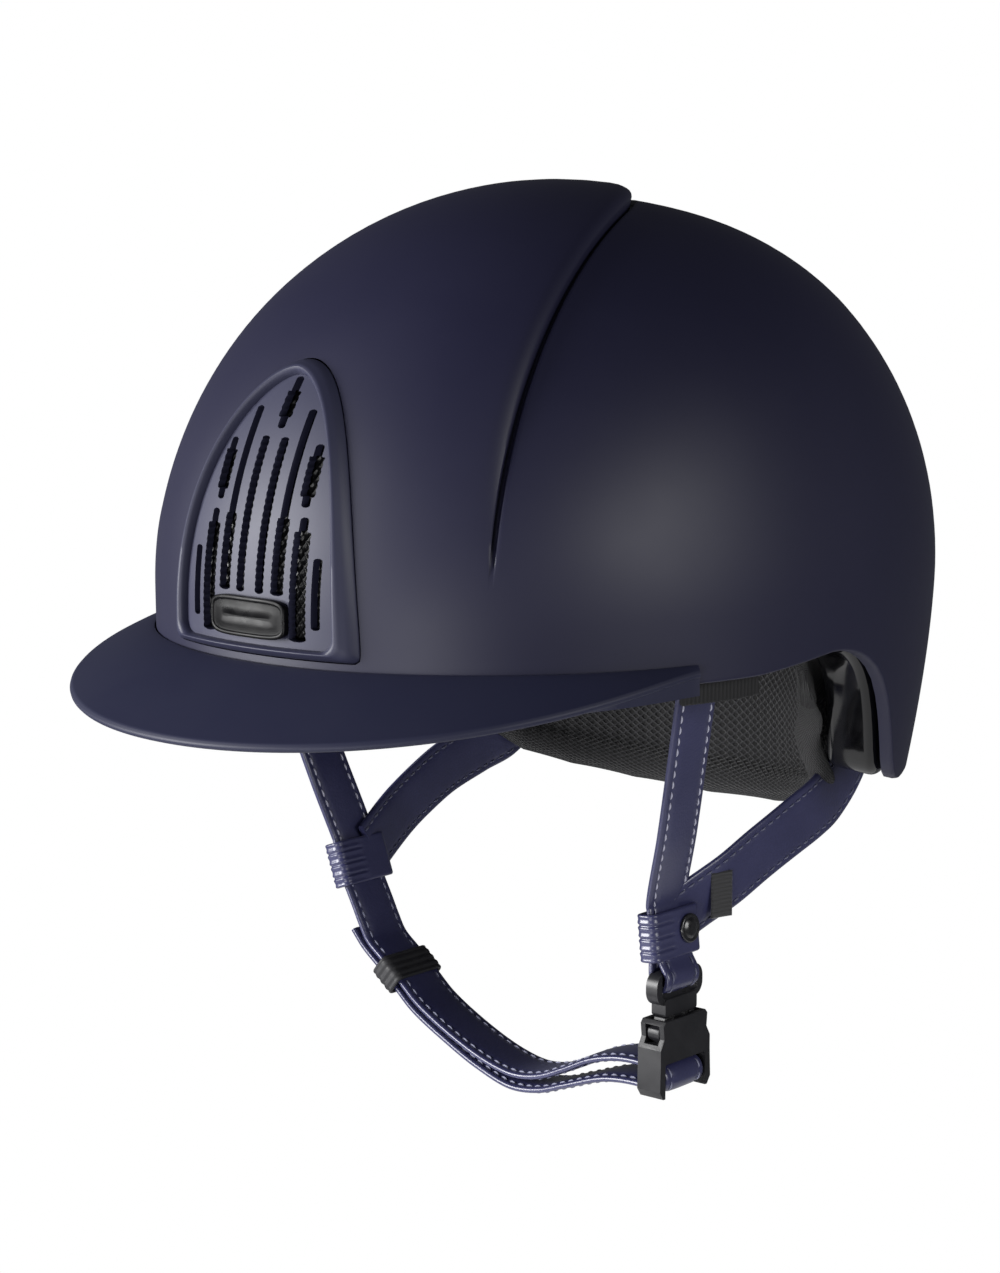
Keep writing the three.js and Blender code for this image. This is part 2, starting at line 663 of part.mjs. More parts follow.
function buckleProngHalf() {
  const ring = roundedRect(11, 5, 4.2, 0, -104);
  ring.holes.push(roundedRect(8.5, 2.8, 1.6, 0, -104.2));
  const barSides = [-5, 1].map((x) => prismX(roundedRect(8.5, 2.6, 0.2, 0, -101), x, x + 4));
  const neck = roundedRect(7.6, 2.6, 0.8, 0, -109.8);
  const guide = roundedRect(1.5, 6.2, 0.6, 0, -117);
  return join(cut(prismX(ring, -2.1, 2.1), ...barSides), prismX(neck, -2.6, 2.6), prismX(guide, -1.4, 1.4));
}

function buckleProng(side) {
  const shape = new THREE.Shape();
  shape.moveTo(side * 4.6, -112.8);
  shape.lineTo(side * 6.9, -112.8);
  shape.quadraticCurveTo(side * 7.4, -115, side * 9.9, -115.8);
  shape.quadraticCurveTo(side * 11, -118.4, side * 8.3, -119.9);
  shape.lineTo(side * 6.6, -124.6);
  shape.quadraticCurveTo(side * 5, -125, side * 4.9, -122.6);
  shape.lineTo(side * 4.6, -112.8);
  return prismX(shape, -2.2, 2.2);
}

function buckleSocketHalf() {
  const shape = new THREE.Shape();
  const half = [
    [9.6, -113.2], [10.6, -114.4], [10.2, -118.4], [11.9, -121.4], [11.9, -126], [12.2, -134], [10.6, -136.4], [9.6, -136.4],
    [9.6, BAR.z - BAR.half - 0.2],
  ];
  shape.moveTo(-half[0][0], half[0][1]);
  half.forEach(([y, z]) => shape.lineTo(y, z));
  half.slice(1).reverse().forEach(([y, z]) => shape.lineTo(-y, z));
  const body = prismX(shape, -4.3, 4.3);
  const webbing = prismX(roundedRect(9.6, 1.9, 0.8, 0, BAR.z + BAR.half + 1.9), -6, 6);
  const barSides = [-6, BAR.half].map((x) => prismX(roundedRect(9.6, 2.6, 0.3, 0, BAR.z), x, x + 4.5));
  const hollow = prismX(roundedRect(8.7, 8, 0.8, 0, -117.4), -2.9, 2.9);
  const windows = prismX(roundedRect(14, 2.9, 0.8, 0, -117.3), -2.6, 2.6);
  return cut(body, webbing, hollow, windows, ...barSides);
}

function pressStud() {
  const profile = [[0, -1.4], [3.4, -1.4], [3.4, -0.3], [4.4, 0], [4.3, 0.7], [3.2, 1.2], [0, 1.4]];
  const geometry = new THREE.LatheGeometry(profile.map(([r, h]) => new THREE.Vector2(r, h)), 16);
  return geometry;
}

// ---- Assembly ----

const helmet = new THREE.Group();

function addPart(name, geometry, color, roughness = 0.6, metalness = 0, parent = helmet) {
  const mesh = new THREE.Mesh(geometry, new THREE.MeshStandardMaterial({ color, roughness, metalness }));
  mesh.name = name;
  parent.add(mesh);
  return mesh;
}

function orient(mesh, matrix, position) {
  mesh.quaternion.setFromRotationMatrix(matrix);
  mesh.position.copy(position);
}

addPart("outer_shell", outerShell(), NAVY, 0.55);
addPart("peak", peak(), NAVY, 0.6);
addPart("grille_frame", grilleFrame(), 0x333344, 0.5);
addPart("grille_mesh", grilleMesh(), BLACK, 0.6);
addPart("grille_plate", grillePlate(), BLACK, 0.3);
addPart("impact_liner", impactLiner(), 0x1c1c1e, 0.9);
addPart("rear_inner_cover", rearInnerCover(), 0x121214, 0.1);
addPart("headband_pad", headbandPad(), 0x222224, 0.95);
addPart("crown_pad", crownPad(), 0x222224, 0.95);
addPart("nape_pad", napePad(), 0x2a2a2c, 0.95);

for (const [name, place] of Object.entries(LOOPS)) {
  const { side, middle, down } = place;
  addPart(`side_pad_${name}`, sidePad(side), 0x222224, 0.95);
  addPart(`front_strap_${name}`, frontStrap(place), LEATHER, 0.45);
  addPart(`rear_strap_${name}`, rearStrap(place), LEATHER, 0.45);
  const loop = new THREE.Group();
  orient(loop, standAlong(down.clone().negate()), middle);
  helmet.add(loop);
  addPart(`strap_loop_${name}`, sleeve(LOOP_LENGTH, 19.4, 4.2, 1.6), LEATHER, 0.4, 0, loop);
  const stud = addPart(`press_stud_${name}`, pressStud(), 0x1a1a1c, 0.25, 0.6, loop);
  stud.position.set(5, -side * 5.5, 0.6);
  stud.rotation.x = side > 0 ? Math.PI : 0;
}

const strapTag = addPart("strap_tag", new THREE.BoxGeometry(1, 8, 14), BLACK, 0.7);
strapTag.position.set(72.4, 1.2, -80.6);
strapTag.rotation.set(0, 0, rad(-12));

const keeper = addPart("chin_keeper", sleeve(12.5, 19, 6.4, 1.5), BLACK, 0.6);
orient(keeper, standAlong(vec(-0.782, 0, 0.624).normalize()), vec(-41.3, HARNESS_Y, -118.7));

addPart("chin_strap", chinStrap(), LEATHER, 0.45);
addPart("strap_stub_left", leftStub(), LEATHER, 0.45);
addPart("strap_stub_right", rightStub(), LEATHER, 0.45);

const buckle = new THREE.Group();
buckle.position.set(BAR.x, HARNESS_Y, 0);
helmet.add(buckle);
addPart("buckle_prong_half", buckleProngHalf(), BLACK, 0.35, 0, buckle);
addPart("buckle_prong_front", buckleProng(-1), BLACK, 0.35, 0, buckle);
addPart("buckle_prong_rear", buckleProng(1), BLACK, 0.35, 0, buckle);
addPart("buckle_socket_half", buckleSocketHalf(), BLACK, 0.35, 0, buckle);

export default helmet;
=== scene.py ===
import bmesh
import bpy
import numpy as np
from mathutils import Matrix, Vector


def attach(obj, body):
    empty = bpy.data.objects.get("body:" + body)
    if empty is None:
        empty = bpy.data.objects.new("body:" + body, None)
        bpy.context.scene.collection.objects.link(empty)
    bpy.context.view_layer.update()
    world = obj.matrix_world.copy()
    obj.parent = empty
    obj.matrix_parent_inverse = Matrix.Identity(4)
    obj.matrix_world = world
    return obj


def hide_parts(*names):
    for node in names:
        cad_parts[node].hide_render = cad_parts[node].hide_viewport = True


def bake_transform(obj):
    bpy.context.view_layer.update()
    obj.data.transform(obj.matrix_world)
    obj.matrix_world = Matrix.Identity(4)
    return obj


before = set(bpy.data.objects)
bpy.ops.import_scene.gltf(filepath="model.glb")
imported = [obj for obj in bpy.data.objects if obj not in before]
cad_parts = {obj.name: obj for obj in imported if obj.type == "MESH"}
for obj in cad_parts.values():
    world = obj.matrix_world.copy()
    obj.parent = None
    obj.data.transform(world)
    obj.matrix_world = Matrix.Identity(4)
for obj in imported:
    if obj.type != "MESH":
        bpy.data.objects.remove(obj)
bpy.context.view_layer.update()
MM = 0.001

# ---- Camera, floor and studio light ----
# The helmet hangs in a bright studio, turned so that its left cheek faces the camera. A pale floor lies
# well below it. Soft square lamps stand at the right front, at the left side and low in front.
CAMERA_AIM = Vector((0, 0, 0.020))
CAMERA_DISTANCE = 0.973
CAMERA_AZIMUTH = np.radians(40)
CAMERA_ELEVATION = np.radians(7.7)
FRAME_WIDE, FRAME_LONG = 1000, 1273
FOCAL_PIXELS = 3149.6
MIDDLE_X, MIDDLE_Y = 545.0, 542.6
SENSOR_WIDTH = 36
FLOOR_Z = -0.62
FLOOR_RADIUS, FLOOR_THICKNESS = 800, 4

back = Vector((np.sin(CAMERA_AZIMUTH) * np.cos(CAMERA_ELEVATION),
               -np.cos(CAMERA_AZIMUTH) * np.cos(CAMERA_ELEVATION), np.sin(CAMERA_ELEVATION)))
camera = bpy.data.objects.new("camera", bpy.data.cameras.new("camera"))
bpy.context.scene.collection.objects.link(camera)
bpy.context.scene.camera = camera
camera.location = CAMERA_AIM + back * CAMERA_DISTANCE
camera.rotation_mode = "QUATERNION"
camera.rotation_quaternion = (-back).to_track_quat("-Z", "Y")
camera.data.sensor_width = SENSOR_WIDTH
camera.data.lens = SENSOR_WIDTH * FOCAL_PIXELS / FRAME_LONG
camera.data.shift_x = -(MIDDLE_X - FRAME_WIDE / 2) / FRAME_LONG
camera.data.shift_y = (MIDDLE_Y - FRAME_LONG / 2) / FRAME_LONG
camera.data.clip_start, camera.data.clip_end = 0.05, 50


def linear(hex_colour):
    """sRGB hex to linear red, green and blue: a straight piece near black and a power curve above it."""
    value = np.array([int(hex_colour[i:i + 2], 16) for i in (1, 3, 5)]) / 255
    return tuple(np.where(value <= 0.04045, value / 12.92, ((value + 0.055) / 1.055) ** 2.4)) + (1.0,)


def add_node(tree, kind, **settings):
    """Adds one node. A key that names a socket sets its value or links it, in0 and so on are sockets by
    number, and any other key sets the node itself."""
    node = tree.nodes.new("ShaderNode" + kind)
    for key, value in settings.items():
        name = key.replace("_", " ")
        if key[:2] == "in" and key[2:].isdigit():
            name = int(key[2:])
        elif name not in node.inputs:
            setattr(node, key, value)
            continue
        if isinstance(value, bpy.types.NodeSocket):
            tree.links.new(value, node.inputs[name])
        else:
            node.inputs[name].default_value = value
    return node


def new_material(name, colour, roughness, **sockets):
    """Principled material with its uniform values on the shader's sockets, and its tree and its shader."""
    material = bpy.data.materials.new(name)
    material.use_nodes = True
    tree = material.node_tree
    shader = tree.nodes["Principled BSDF"]
    shader.inputs["Base Color"].default_value = linear(colour)
    shader.inputs["Roughness"].default_value = roughness
    for key, value in sockets.items():
        shader.inputs[key.replace("_", " ")].default_value = value
    return material, tree, shader


def between(tree, value, low, high, out_low, out_high):
    """Value carried from one range to another, clamped."""
    node = add_node(tree, "MapRange", Value=value)
    for key, number in {"From Min": low, "From Max": high, "To Min": out_low, "To Max": out_high}.items():
        node.inputs[key].default_value = number
    return node.outputs["Result"]


def coat(obj, material, sharp_degrees=None):
    """Gives an object its one material, and smooth shading with the edges above an angle kept sharp."""
    obj.data.materials.clear()
    obj.data.materials.append(material)
    if sharp_degrees is not None:
        obj.data.shade_smooth()
        obj.data.set_sharp_from_angle(angle=np.radians(sharp_degrees))
    return obj


def grid_mesh(name, sheets, closed=(False, False)):
    """Mesh over a grid of points in mm. Rows and columns may each close on themselves."""
    points = np.asarray(sheets, float)
    rows, cols = points.shape[:2]
    index = np.arange(rows * cols).reshape(rows, cols)
    if closed[0]:
        index = np.vstack([index, index[:1]])
    if closed[1]:
        index = np.hstack([index, index[:, :1]])
    quads = np.stack([index[:-1, :-1], index[:-1, 1:], index[1:, 1:], index[1:, :-1]], -1).reshape(-1, 4)
    return raw_mesh(name, points.reshape(-1, 3), quads)


def raw_mesh(name, points, quads):
    """Object with its place in its mesh, from points in mm and four-cornered faces, doubles merged."""
    mesh = bpy.data.meshes.new(name)
    mesh.from_pydata((np.asarray(points) * MM).tolist(), [], np.asarray(quads).tolist())
    shape = bmesh.new()
    shape.from_mesh(mesh)
    bmesh.ops.remove_doubles(shape, verts=shape.verts, dist=2e-6)
    bmesh.ops.dissolve_degenerate(shape, edges=shape.edges, dist=1e-7)
    bmesh.ops.recalc_face_normals(shape, faces=shape.faces)
    shape.to_mesh(mesh)
    shape.free()
    obj = bpy.data.objects.new(name, mesh)
    bpy.context.scene.collection.objects.link(obj)
    return obj


def studio_lamp(name, place, aim, size, watts):
    """Square soft lamp at a place, facing a point."""
    lamp = bpy.data.lights.new(name, "AREA")
    lamp.energy = watts
    lamp.size = size
    obj = bpy.data.objects.new(name, lamp)
    obj.location = place
    obj.rotation_euler = (Vector(aim) - Vector(place)).to_track_quat("-Z", "Y").to_euler()
    bpy.context.scene.collection.objects.link(obj)


world = bpy.data.worlds.new("studio")
bpy.context.scene.world = world
world.use_nodes = True
bpy.context.scene.view_settings.view_transform = "Standard"
tree = world.node_tree
tree.nodes.clear()
height = add_node(tree, "SeparateXYZ", Vector=add_node(tree, "TexCoord").outputs["Generated"]).outputs["Z"]
glow = between(tree, height, -0.3, 0.6, 0.14, 0.03)
room = add_node(tree, "Background", Color=(0.93, 0.95, 1.0, 1), Strength=glow)
backdrop = add_node(tree, "Background", Color=(1, 1, 1, 1), Strength=1.0)
seen = add_node(tree, "LightPath").outputs["Is Camera Ray"]
mixed = add_node(tree, "MixShader", in0=seen, in1=room.outputs[0], in2=backdrop.outputs[0])
tree.links.new(mixed.outputs[0], tree.nodes.new("ShaderNodeOutputWorld").inputs["Surface"])

studio_lamp("key", (-0.95, -1.35, 0.26), (-0.02, -0.05, 0.03), 0.9, 54)
studio_lamp("side", (1.75, -0.02, 0.50), (0.05, 0.03, 0.02), 0.9, 16)
studio_lamp("low", (0.5, -1.5, -0.40), (0, 0, -0.10), 0.6, 9)

turn = np.linspace(0, 2 * np.pi, 97)[:-1]
floor_rings = ((0, 0), (FLOOR_RADIUS, 0), (FLOOR_RADIUS, FLOOR_THICKNESS), (0, FLOOR_THICKNESS))
floor = grid_mesh("floor", [[(r * np.cos(a), r * np.sin(a), FLOOR_Z / MM - drop) for a in turn]
                            for r, drop in floor_rings], closed=(False, True))
paper, _, _ = new_material("pale studio paper", "#f4f4f5", 0.9)
coat(floor, paper)

# ---- Outer shell ----
# One glass-fibre moulding painted matt navy. The front carapace ends in a raised lip, and the rear half
# starts lower behind a narrow slot, so the joint runs from temple to temple over the crown.
HALF_WIDTH, FRONT_REACH, BACK_REACH = 108.0, 131.0, 124.0
PLAN_CENTRE_Y, EQUATOR_Z, CROWN_Z = 4.0, 13.0, 131.6
PLAN_FRONT, PLAN_BACK = 2.09, 2.28
RISE_FRONT, RISE_SIDE, RISE_BACK = 2.0, 1.93, 2.21
TUCK_SIDE, TUCK_BACK, TUCK_DEPTH = 0.015, 0.095, 70.0
SEAM_CROWN_Y, SEAM_BOW, SEAM_STEP, SEAM_SLOT = 30.6, 0.031, 4.0, 2.4
SEAM_END_Z, SEAM_FULL_Z, SINK_LENGTH = 26.0, 95.0, 40.0
SHELL_THICKNESS, SEAM_THICKENING = 4.0, 4.4
FRONT_RIM_Z = -6.0
FAN_START = np.array([0.0, -103.5, -12.0])
RIM = np.array([(0, -6), (72, -6), (82, -4.2), (90, -2.6), (96, -4.8), (101, -9.6), (105, -16.4),
                (108.5, -28), (112, -42), (114, -48), (118, -51), (180, -49)], float)


def dome_radius(phi, z):
    """Radius of the dome: a superellipse plan, times a rise that shrinks upwards or a tuck downwards."""
    c, s = np.cos(phi), np.sin(phi)
    reach = np.where(c > 0, FRONT_REACH, BACK_REACH)
    power = np.where(c > 0, PLAN_FRONT, PLAN_BACK)
    plan = (np.abs(s / HALF_WIDTH) ** power + np.abs(c / reach) ** power) ** (-1 / power)
    front, rear = np.clip(c, 0, 1) ** 1.5, np.clip(-c, 0, 1) ** 1.5
    rise = RISE_SIDE * (1 - front - rear) + RISE_FRONT * front + RISE_BACK * rear
    up = np.clip((z - EQUATOR_Z) / (CROWN_Z - EQUATOR_Z), 0, 0.9999999)
    tuck = (TUCK_SIDE + TUCK_BACK * ((1 - c) / 2) ** 2) * (np.clip(EQUATOR_Z - z, 0, 200) / TUCK_DEPTH) ** 1.6
    return plan * np.where(z > EQUATOR_Z, np.sqrt(1 - up ** rise), 1 - tuck)


def outside(points):
    """Signed distance from the dome measured in plan, negative inside."""
    x, y, z = points[..., 0], points[..., 1] - PLAN_CENTRE_Y, points[..., 2]
    radius = dome_radius(np.arctan2(x, -y), np.minimum(z, CROWN_Z - 1e-5))
    return np.where(z >= CROWN_Z, 1e3, np.hypot(x, y) - radius)


def dome_normal(points):
    """Unit normal of the dome from central differences of the distance."""
    step = 0.05
    offsets = np.eye(3) * step
    slope = np.stack([outside(points + o) - outside(points - o) for o in offsets], -1)
    slope = np.where(points[..., 2:] > CROWN_Z - 0.2, np.array([0, 0, 1.0]), slope)
    return slope / np.linalg.norm(slope, axis=-1, keepdims=True)


def hit_dome(start, direction):
    """Where rays from inside leave the dome, by halving the interval 44 times."""
    near = np.zeros(direction.shape[:-1])
    far = np.full(direction.shape[:-1], 330.0)
    for _ in range(44):
        middle = (near + far) / 2
        inside = outside(start + direction * middle[..., None]) < 0
        near, far = np.where(inside, middle, near), np.where(inside, far, middle)
    return start + direction * near[..., None]


def smooth_step(low, high, value):
    """Cubic step from 0 at low to 1 at high."""
    t = np.clip((value - low) / (high - low), 0, 1)
    return t * t * (3 - 2 * t)


def behind_seam(points):
    """Distance behind the seam, a parabola in plan."""
    x, y = points[..., 0], points[..., 1]
    return (y - SEAM_CROWN_Y + SEAM_BOW * x * x) / np.hypot(1, 2 * SEAM_BOW * x)


def rim_at(degrees):
    """Height of the shell's lower edge at an angle round the plan, as the side view draws it."""
    return np.interp(degrees, RIM_SMOOTH[:, 0], RIM_SMOOTH[:, 1])


def rim_height(points):
    """Height of the shell's lower edge above or below each point."""
    return rim_at(np.degrees(np.abs(np.arctan2(points[..., 0], PLAN_CENTRE_Y - points[..., 1]))))


def rounded_line(line, reach, count):
    """A polyline resampled densely, then averaged over a window, so that its corners turn softly."""
    along = np.linspace(line[0, 0], line[-1, 0], count)
    height = np.interp(along, line[:, 0], line[:, 1])
    window = max(1, int(reach / (along[1] - along[0])))
    padded = np.pad(height, window, mode="edge")
    kernel = np.hanning(2 * window + 1)
    return np.stack([along, np.convolve(padded, kernel / kernel.sum(), "valid")], -1)


RIM_SMOOTH = rounded_line(RIM, 4.0, 1440)


def fan_direction(alpha, beta):
    """Unit ray at turn alpha round the cross axis and at angle beta out of the middle plane."""
    alpha, beta = np.broadcast_arrays(alpha, beta)
    return np.stack([np.sin(beta), -np.cos(beta) * np.cos(alpha), np.cos(beta) * np.sin(alpha)], -1)


def first_turn(beta, test, low, high):
    """Turn alpha at which a test of the hit point changes from false to true, by halving."""
    low, high = np.full(beta.shape, low), np.full(beta.shape, high)
    for _ in range(34):
        middle = (low + high) / 2
        found = test(hit_dome(FAN_START, fan_direction(middle, beta)))
        low, high = np.where(found, low, middle), np.where(found, middle, high)
    return (low + high) / 2


# Rows across the seam: distance behind it, then the share of the step and of the slot at that distance.
SEAM_ROWS = np.array([(-7.0, 0, 0), (-5.0, 0.03, 0), (-3.4, 0.1, 0), (-2.1, 0.2, 0), (-1.1, 0.32, 0),
                      (-0.4, 0.46, 0), (0, 0.62, 0.12), (0.08, 0.96, 0.9), (0.3, 1, 1), (0.9, 1, 1.03),
                      (1.5, 1, 1), (1.72, 1, 0.9), (1.8, 1, 0.3), (2.05, 1, 0.07), (2.5, 1, 0), (3.6, 1, 0)])
RIM_ROWS = np.array([(0, 1.3), (0.25, 0.6), (0.7, 0.18), (1.3, 0), (2.4, 0)])


def shell_grid(columns, front_count, rear_count):
    """Fan lines from temple to temple. Each goes from the front rim over the seam to the back rim, with rows
    set close together at both rims, where the edge rounds over, and across the seam, where the slot lies."""
    spread = np.linspace(-1, 1, columns)
    beta = np.sign(spread) * np.abs(spread) ** 1.06 * FAN_EDGE
    above = lambda hit: hit[..., 2] > rim_height(hit)
    reach = lambda turn: np.linalg.norm(hit_dome(FAN_START, fan_direction(turn, beta)) - FAN_START, axis=-1)
    space = lambda a, b, n: a + (b - a) * np.linspace(0, 1, n)[1:-1, None]
    start = first_turn(beta, above, np.radians(-4.0), np.radians(60.0))
    end = first_turn(beta, lambda hit: ~above(hit), np.radians(120.0), np.radians(206.0))
    seam = first_turn(beta, lambda hit: behind_seam(hit) > 0, np.radians(35), np.radians(165))
    narrow = np.clip((end - start) / np.radians(150), 0.02, 1)
    front_rows = start + narrow * RIM_ROWS[:, :1] / reach(start)
    seam_rows = seam + narrow * SEAM_ROWS[:, :1] / reach(seam)
    rear_rows = end - narrow * RIM_ROWS[::-1, :1] / reach(end)
    alpha = np.vstack([front_rows, space(front_rows[-1], seam_rows[0], front_count), seam_rows,
                       space(seam_rows[-1], rear_rows[0], rear_count), rear_rows])
    return hit_dome(FAN_START, fan_direction(alpha, beta[None, :]))


def shell_depth(hits, front_count):
    """Depth of the painted face below the dome: the step and slot at the seam, the sunk rear half that rises
    again, and the rounding of both rims."""
    behind = behind_seam(hits)
    sunk = (1 - np.clip(behind / SINK_LENGTH, 0, 1) ** 2) ** 1.5
    share = np.where((behind > 0) & (behind < SINK_LENGTH), sunk, 0)
    first = len(RIM_ROWS) + front_count - 2
    rows = slice(first, first + len(SEAM_ROWS))
    share[rows] = SEAM_ROWS[:, 1:2]
    share[:first] = 0
    depth = SEAM_STEP * smooth_step(SEAM_END_Z, SEAM_FULL_Z, hits[..., 2]) * share
    slot_share = smooth_step(SEAM_END_Z, SEAM_END_Z + 12, hits[rows][..., 2])
    depth[rows] += SEAM_ROWS[:, 2:3] * SEAM_SLOT * slot_share
    depth[:len(RIM_ROWS)] += RIM_ROWS[:, 1:2]
    depth[-len(RIM_ROWS):] += RIM_ROWS[::-1, 1:2]
    return depth


def shell_inset(hits, thickness):
    """Depth of the inner face, deeper for some 30 mm round the seam so that the slot keeps a floor."""
    near = 1 - smooth_step(4, 30, np.abs(behind_seam(hits) - 6))
    return thickness + SEAM_THICKENING * near * smooth_step(SEAM_END_Z, SEAM_FULL_Z, hits[..., 2])


def two_sheets(name, outer, inner):
    """Closed body between two matching grids, joined round all four edges."""
    rows, cols = outer.shape[:2]
    count = rows * cols
    index = np.arange(count).reshape(rows, cols)
    face = lambda g: np.stack([g[:-1, :-1], g[:-1, 1:], g[1:, 1:], g[1:, :-1]], -1).reshape(-1, 4)
    loop = np.concatenate([index[0, :-1], index[:-1, -1], index[-1, :0:-1], index[:0:-1, 0]])
    step = np.roll(loop, -1)
    walls = np.stack([loop, step, step + count, loop + count], -1)
    quads = np.vstack([face(index), face(index)[:, ::-1] + count, walls])
    return raw_mesh(name, np.vstack([outer.reshape(-1, 3), inner.reshape(-1, 3)]), quads)


FAN_EDGE = np.radians(84.6)
FRONT_COUNT, REAR_COUNT, FAN_COLUMNS = 54, 64, 141
hits = shell_grid(FAN_COLUMNS, FRONT_COUNT, REAR_COUNT)
normals = dome_normal(hits)
outer_face = hits - normals * shell_depth(hits, FRONT_COUNT)[..., None]
inner_face = hits - normals * shell_inset(hits, SHELL_THICKNESS)[..., None]
shell = two_sheets("shell", outer_face, inner_face)


def arch_outline(arch, count, grow=0.0):
    """Arch in the front view: straight base, round corners, sides x = half (1 - t^p)^(1/q) to the top."""
    half, base, top = arch["half"] + grow, arch["base"] - grow, arch["top"] + grow
    side = lambda z: half * (1 - np.clip((z - base) / (top - base), 0, 1) ** arch["p"]) ** (1 / arch["q"])
    corner = arch["corner"]
    edge = side(base + corner)
    turn = np.linspace(0, np.pi / 2, count // 8)
    floor_part = np.stack([np.linspace(0, edge - corner, count // 5), np.full(count // 5, base)], -1)
    corner_part = np.stack([edge - corner + corner * np.sin(turn), base + corner * (1 - np.cos(turn))], -1)
    climb = base + corner + (top - base - corner) * np.sin(np.linspace(0, np.pi / 2, count))
    side_part = np.stack([side(climb), climb], -1)
    right = np.vstack([floor_part, corner_part[1:], side_part[1:]])
    left = right[1:-1][::-1] * [-1, 1]
    return np.vstack([right, left])


def evenly(loop, count):
    """A closed outline resampled at equal steps of length."""
    closed = np.vstack([loop, loop[:1]])
    length = np.concatenate([[0], np.cumsum(np.linalg.norm(np.diff(closed, axis=0), axis=1))])
    at = np.linspace(0, length[-1], count, endpoint=False)
    return np.stack([np.interp(at, length, closed[:, k]) for k in range(closed.shape[1])], -1)


def prism(name, outline):
    """Cutter: an outline in the front view carried back through the front, with its ends filled."""
    mesh = bpy.data.meshes.new(name)
    shape = bmesh.new()
    rings = [[shape.verts.new(Vector((x, y, z)) * MM) for x, z in outline] for y in CUT_FROM_TO_Y]
    count = len(outline)
    for i in range(count):
        j = (i + 1) % count
        shape.faces.new((rings[0][i], rings[0][j], rings[1][j], rings[1][i]))
    shape.faces.new(rings[0][::-1])
    shape.faces.new(rings[1])
    bmesh.ops.recalc_face_normals(shape, faces=shape.faces)
    shape.to_mesh(mesh)
    shape.free()
    obj = bpy.data.objects.new(name, mesh)
    bpy.context.scene.collection.objects.link(obj)
    return obj


def carve(obj, cutter, operation="DIFFERENCE"):
    """Cuts one closed body out of another for good, and removes the cutter."""
    step = obj.modifiers.new("carve", "BOOLEAN")
    step.operation, step.object, step.solver = operation, cutter, "MANIFOLD"
    made = bpy.data.meshes.new_from_object(obj.evaluated_get(bpy.context.evaluated_depsgraph_get()))
    obj.modifiers.clear()
    obj.data = made
    bpy.data.objects.remove(cutter)
    return obj


CUT_FROM_TO_Y = (-150, -60)
GRILLE_OUTER = {"half": 35.2, "base": 2, "top": 82.7, "p": 1.96, "q": 1.9, "corner": 2}
GRILLE_INNER = {"half": 28.3, "base": 5, "top": 78, "p": 2.55, "q": 1.7, "corner": 4}
carve(shell, prism("hole", evenly(arch_outline(GRILLE_OUTER, 80, 0.35), 160)))


def object_coordinates(tree):
    """Object coordinates, which are metres in the helmet's own frame."""
    return add_node(tree, "TexCoord").outputs["Object"]


def noise(tree, where, per_metre, detail=3.0, rough=0.55):
    """Noise whose cells are one over per_metre of a metre across."""
    node = add_node(tree, "TexNoise", Vector=where, Scale=per_metre, Detail=detail, Roughness=rough)
    return node.outputs["Fac"]


def mixed_colour(tree, share, colour_a, colour_b):
    """Two hex colours mixed by a share that varies over the surface."""
    ramp = add_node(tree, "ValToRGB", Fac=share)
    ramp.color_ramp.elements[0].color = linear(colour_a)
    ramp.color_ramp.elements[1].color = linear(colour_b)
    return ramp.outputs["Color"]


def roughen(tree, shader, height, distance_mm, strength=1.0):
    """Bump from a height of 0 to 1 that stands for distance_mm."""
    bump = add_node(tree, "Bump", Height=height, Strength=strength, Distance=distance_mm * MM)
    tree.links.new(bump.outputs["Normal"], shader.inputs["Normal"])


def matt_paint(name, colour_a, colour_b, rough_a, rough_b):
    """Two-pack matt paint, sprayed: a very fine orange peel about 0.4 mm across, drawn at 0.9 mm so that it
    shows, and broad slight differences in sheen."""
    material, tree, shader = new_material(name, colour_a, rough_a, IOR=1.42, Coat_Weight=0.04,
                                          Coat_Roughness=0.45)
    where = object_coordinates(tree)
    cloud = noise(tree, where, 18, 4)
    grain = noise(tree, where, 1100, 2)
    tree.links.new(mixed_colour(tree, cloud, colour_a, colour_b), shader.inputs["Base Color"])
    tree.links.new(between(tree, cloud, 0.3, 0.7, rough_a, rough_b), shader.inputs["Roughness"])
    roughen(tree, shader, grain, 0.012, 0.5)
    return material


shell_paint = matt_paint("matt navy paint", "#1b1b31", "#1e1e35", 0.46, 0.52)
coat(shell, shell_paint, 35)
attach(shell, "root")
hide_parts("outer_shell")

# ---- Peak ----
# A short brim moulded in soft-touch plastic, screwed on under the front edge of the shell. Its top meets
# the shell in a fine joint line, and its lower face turns in under the rim.
PEAK_HALF_ANGLE, PEAK_REACH, PEAK_DROP, PEAK_EDGE = 60.5, 32.1, 14.6, 2.4


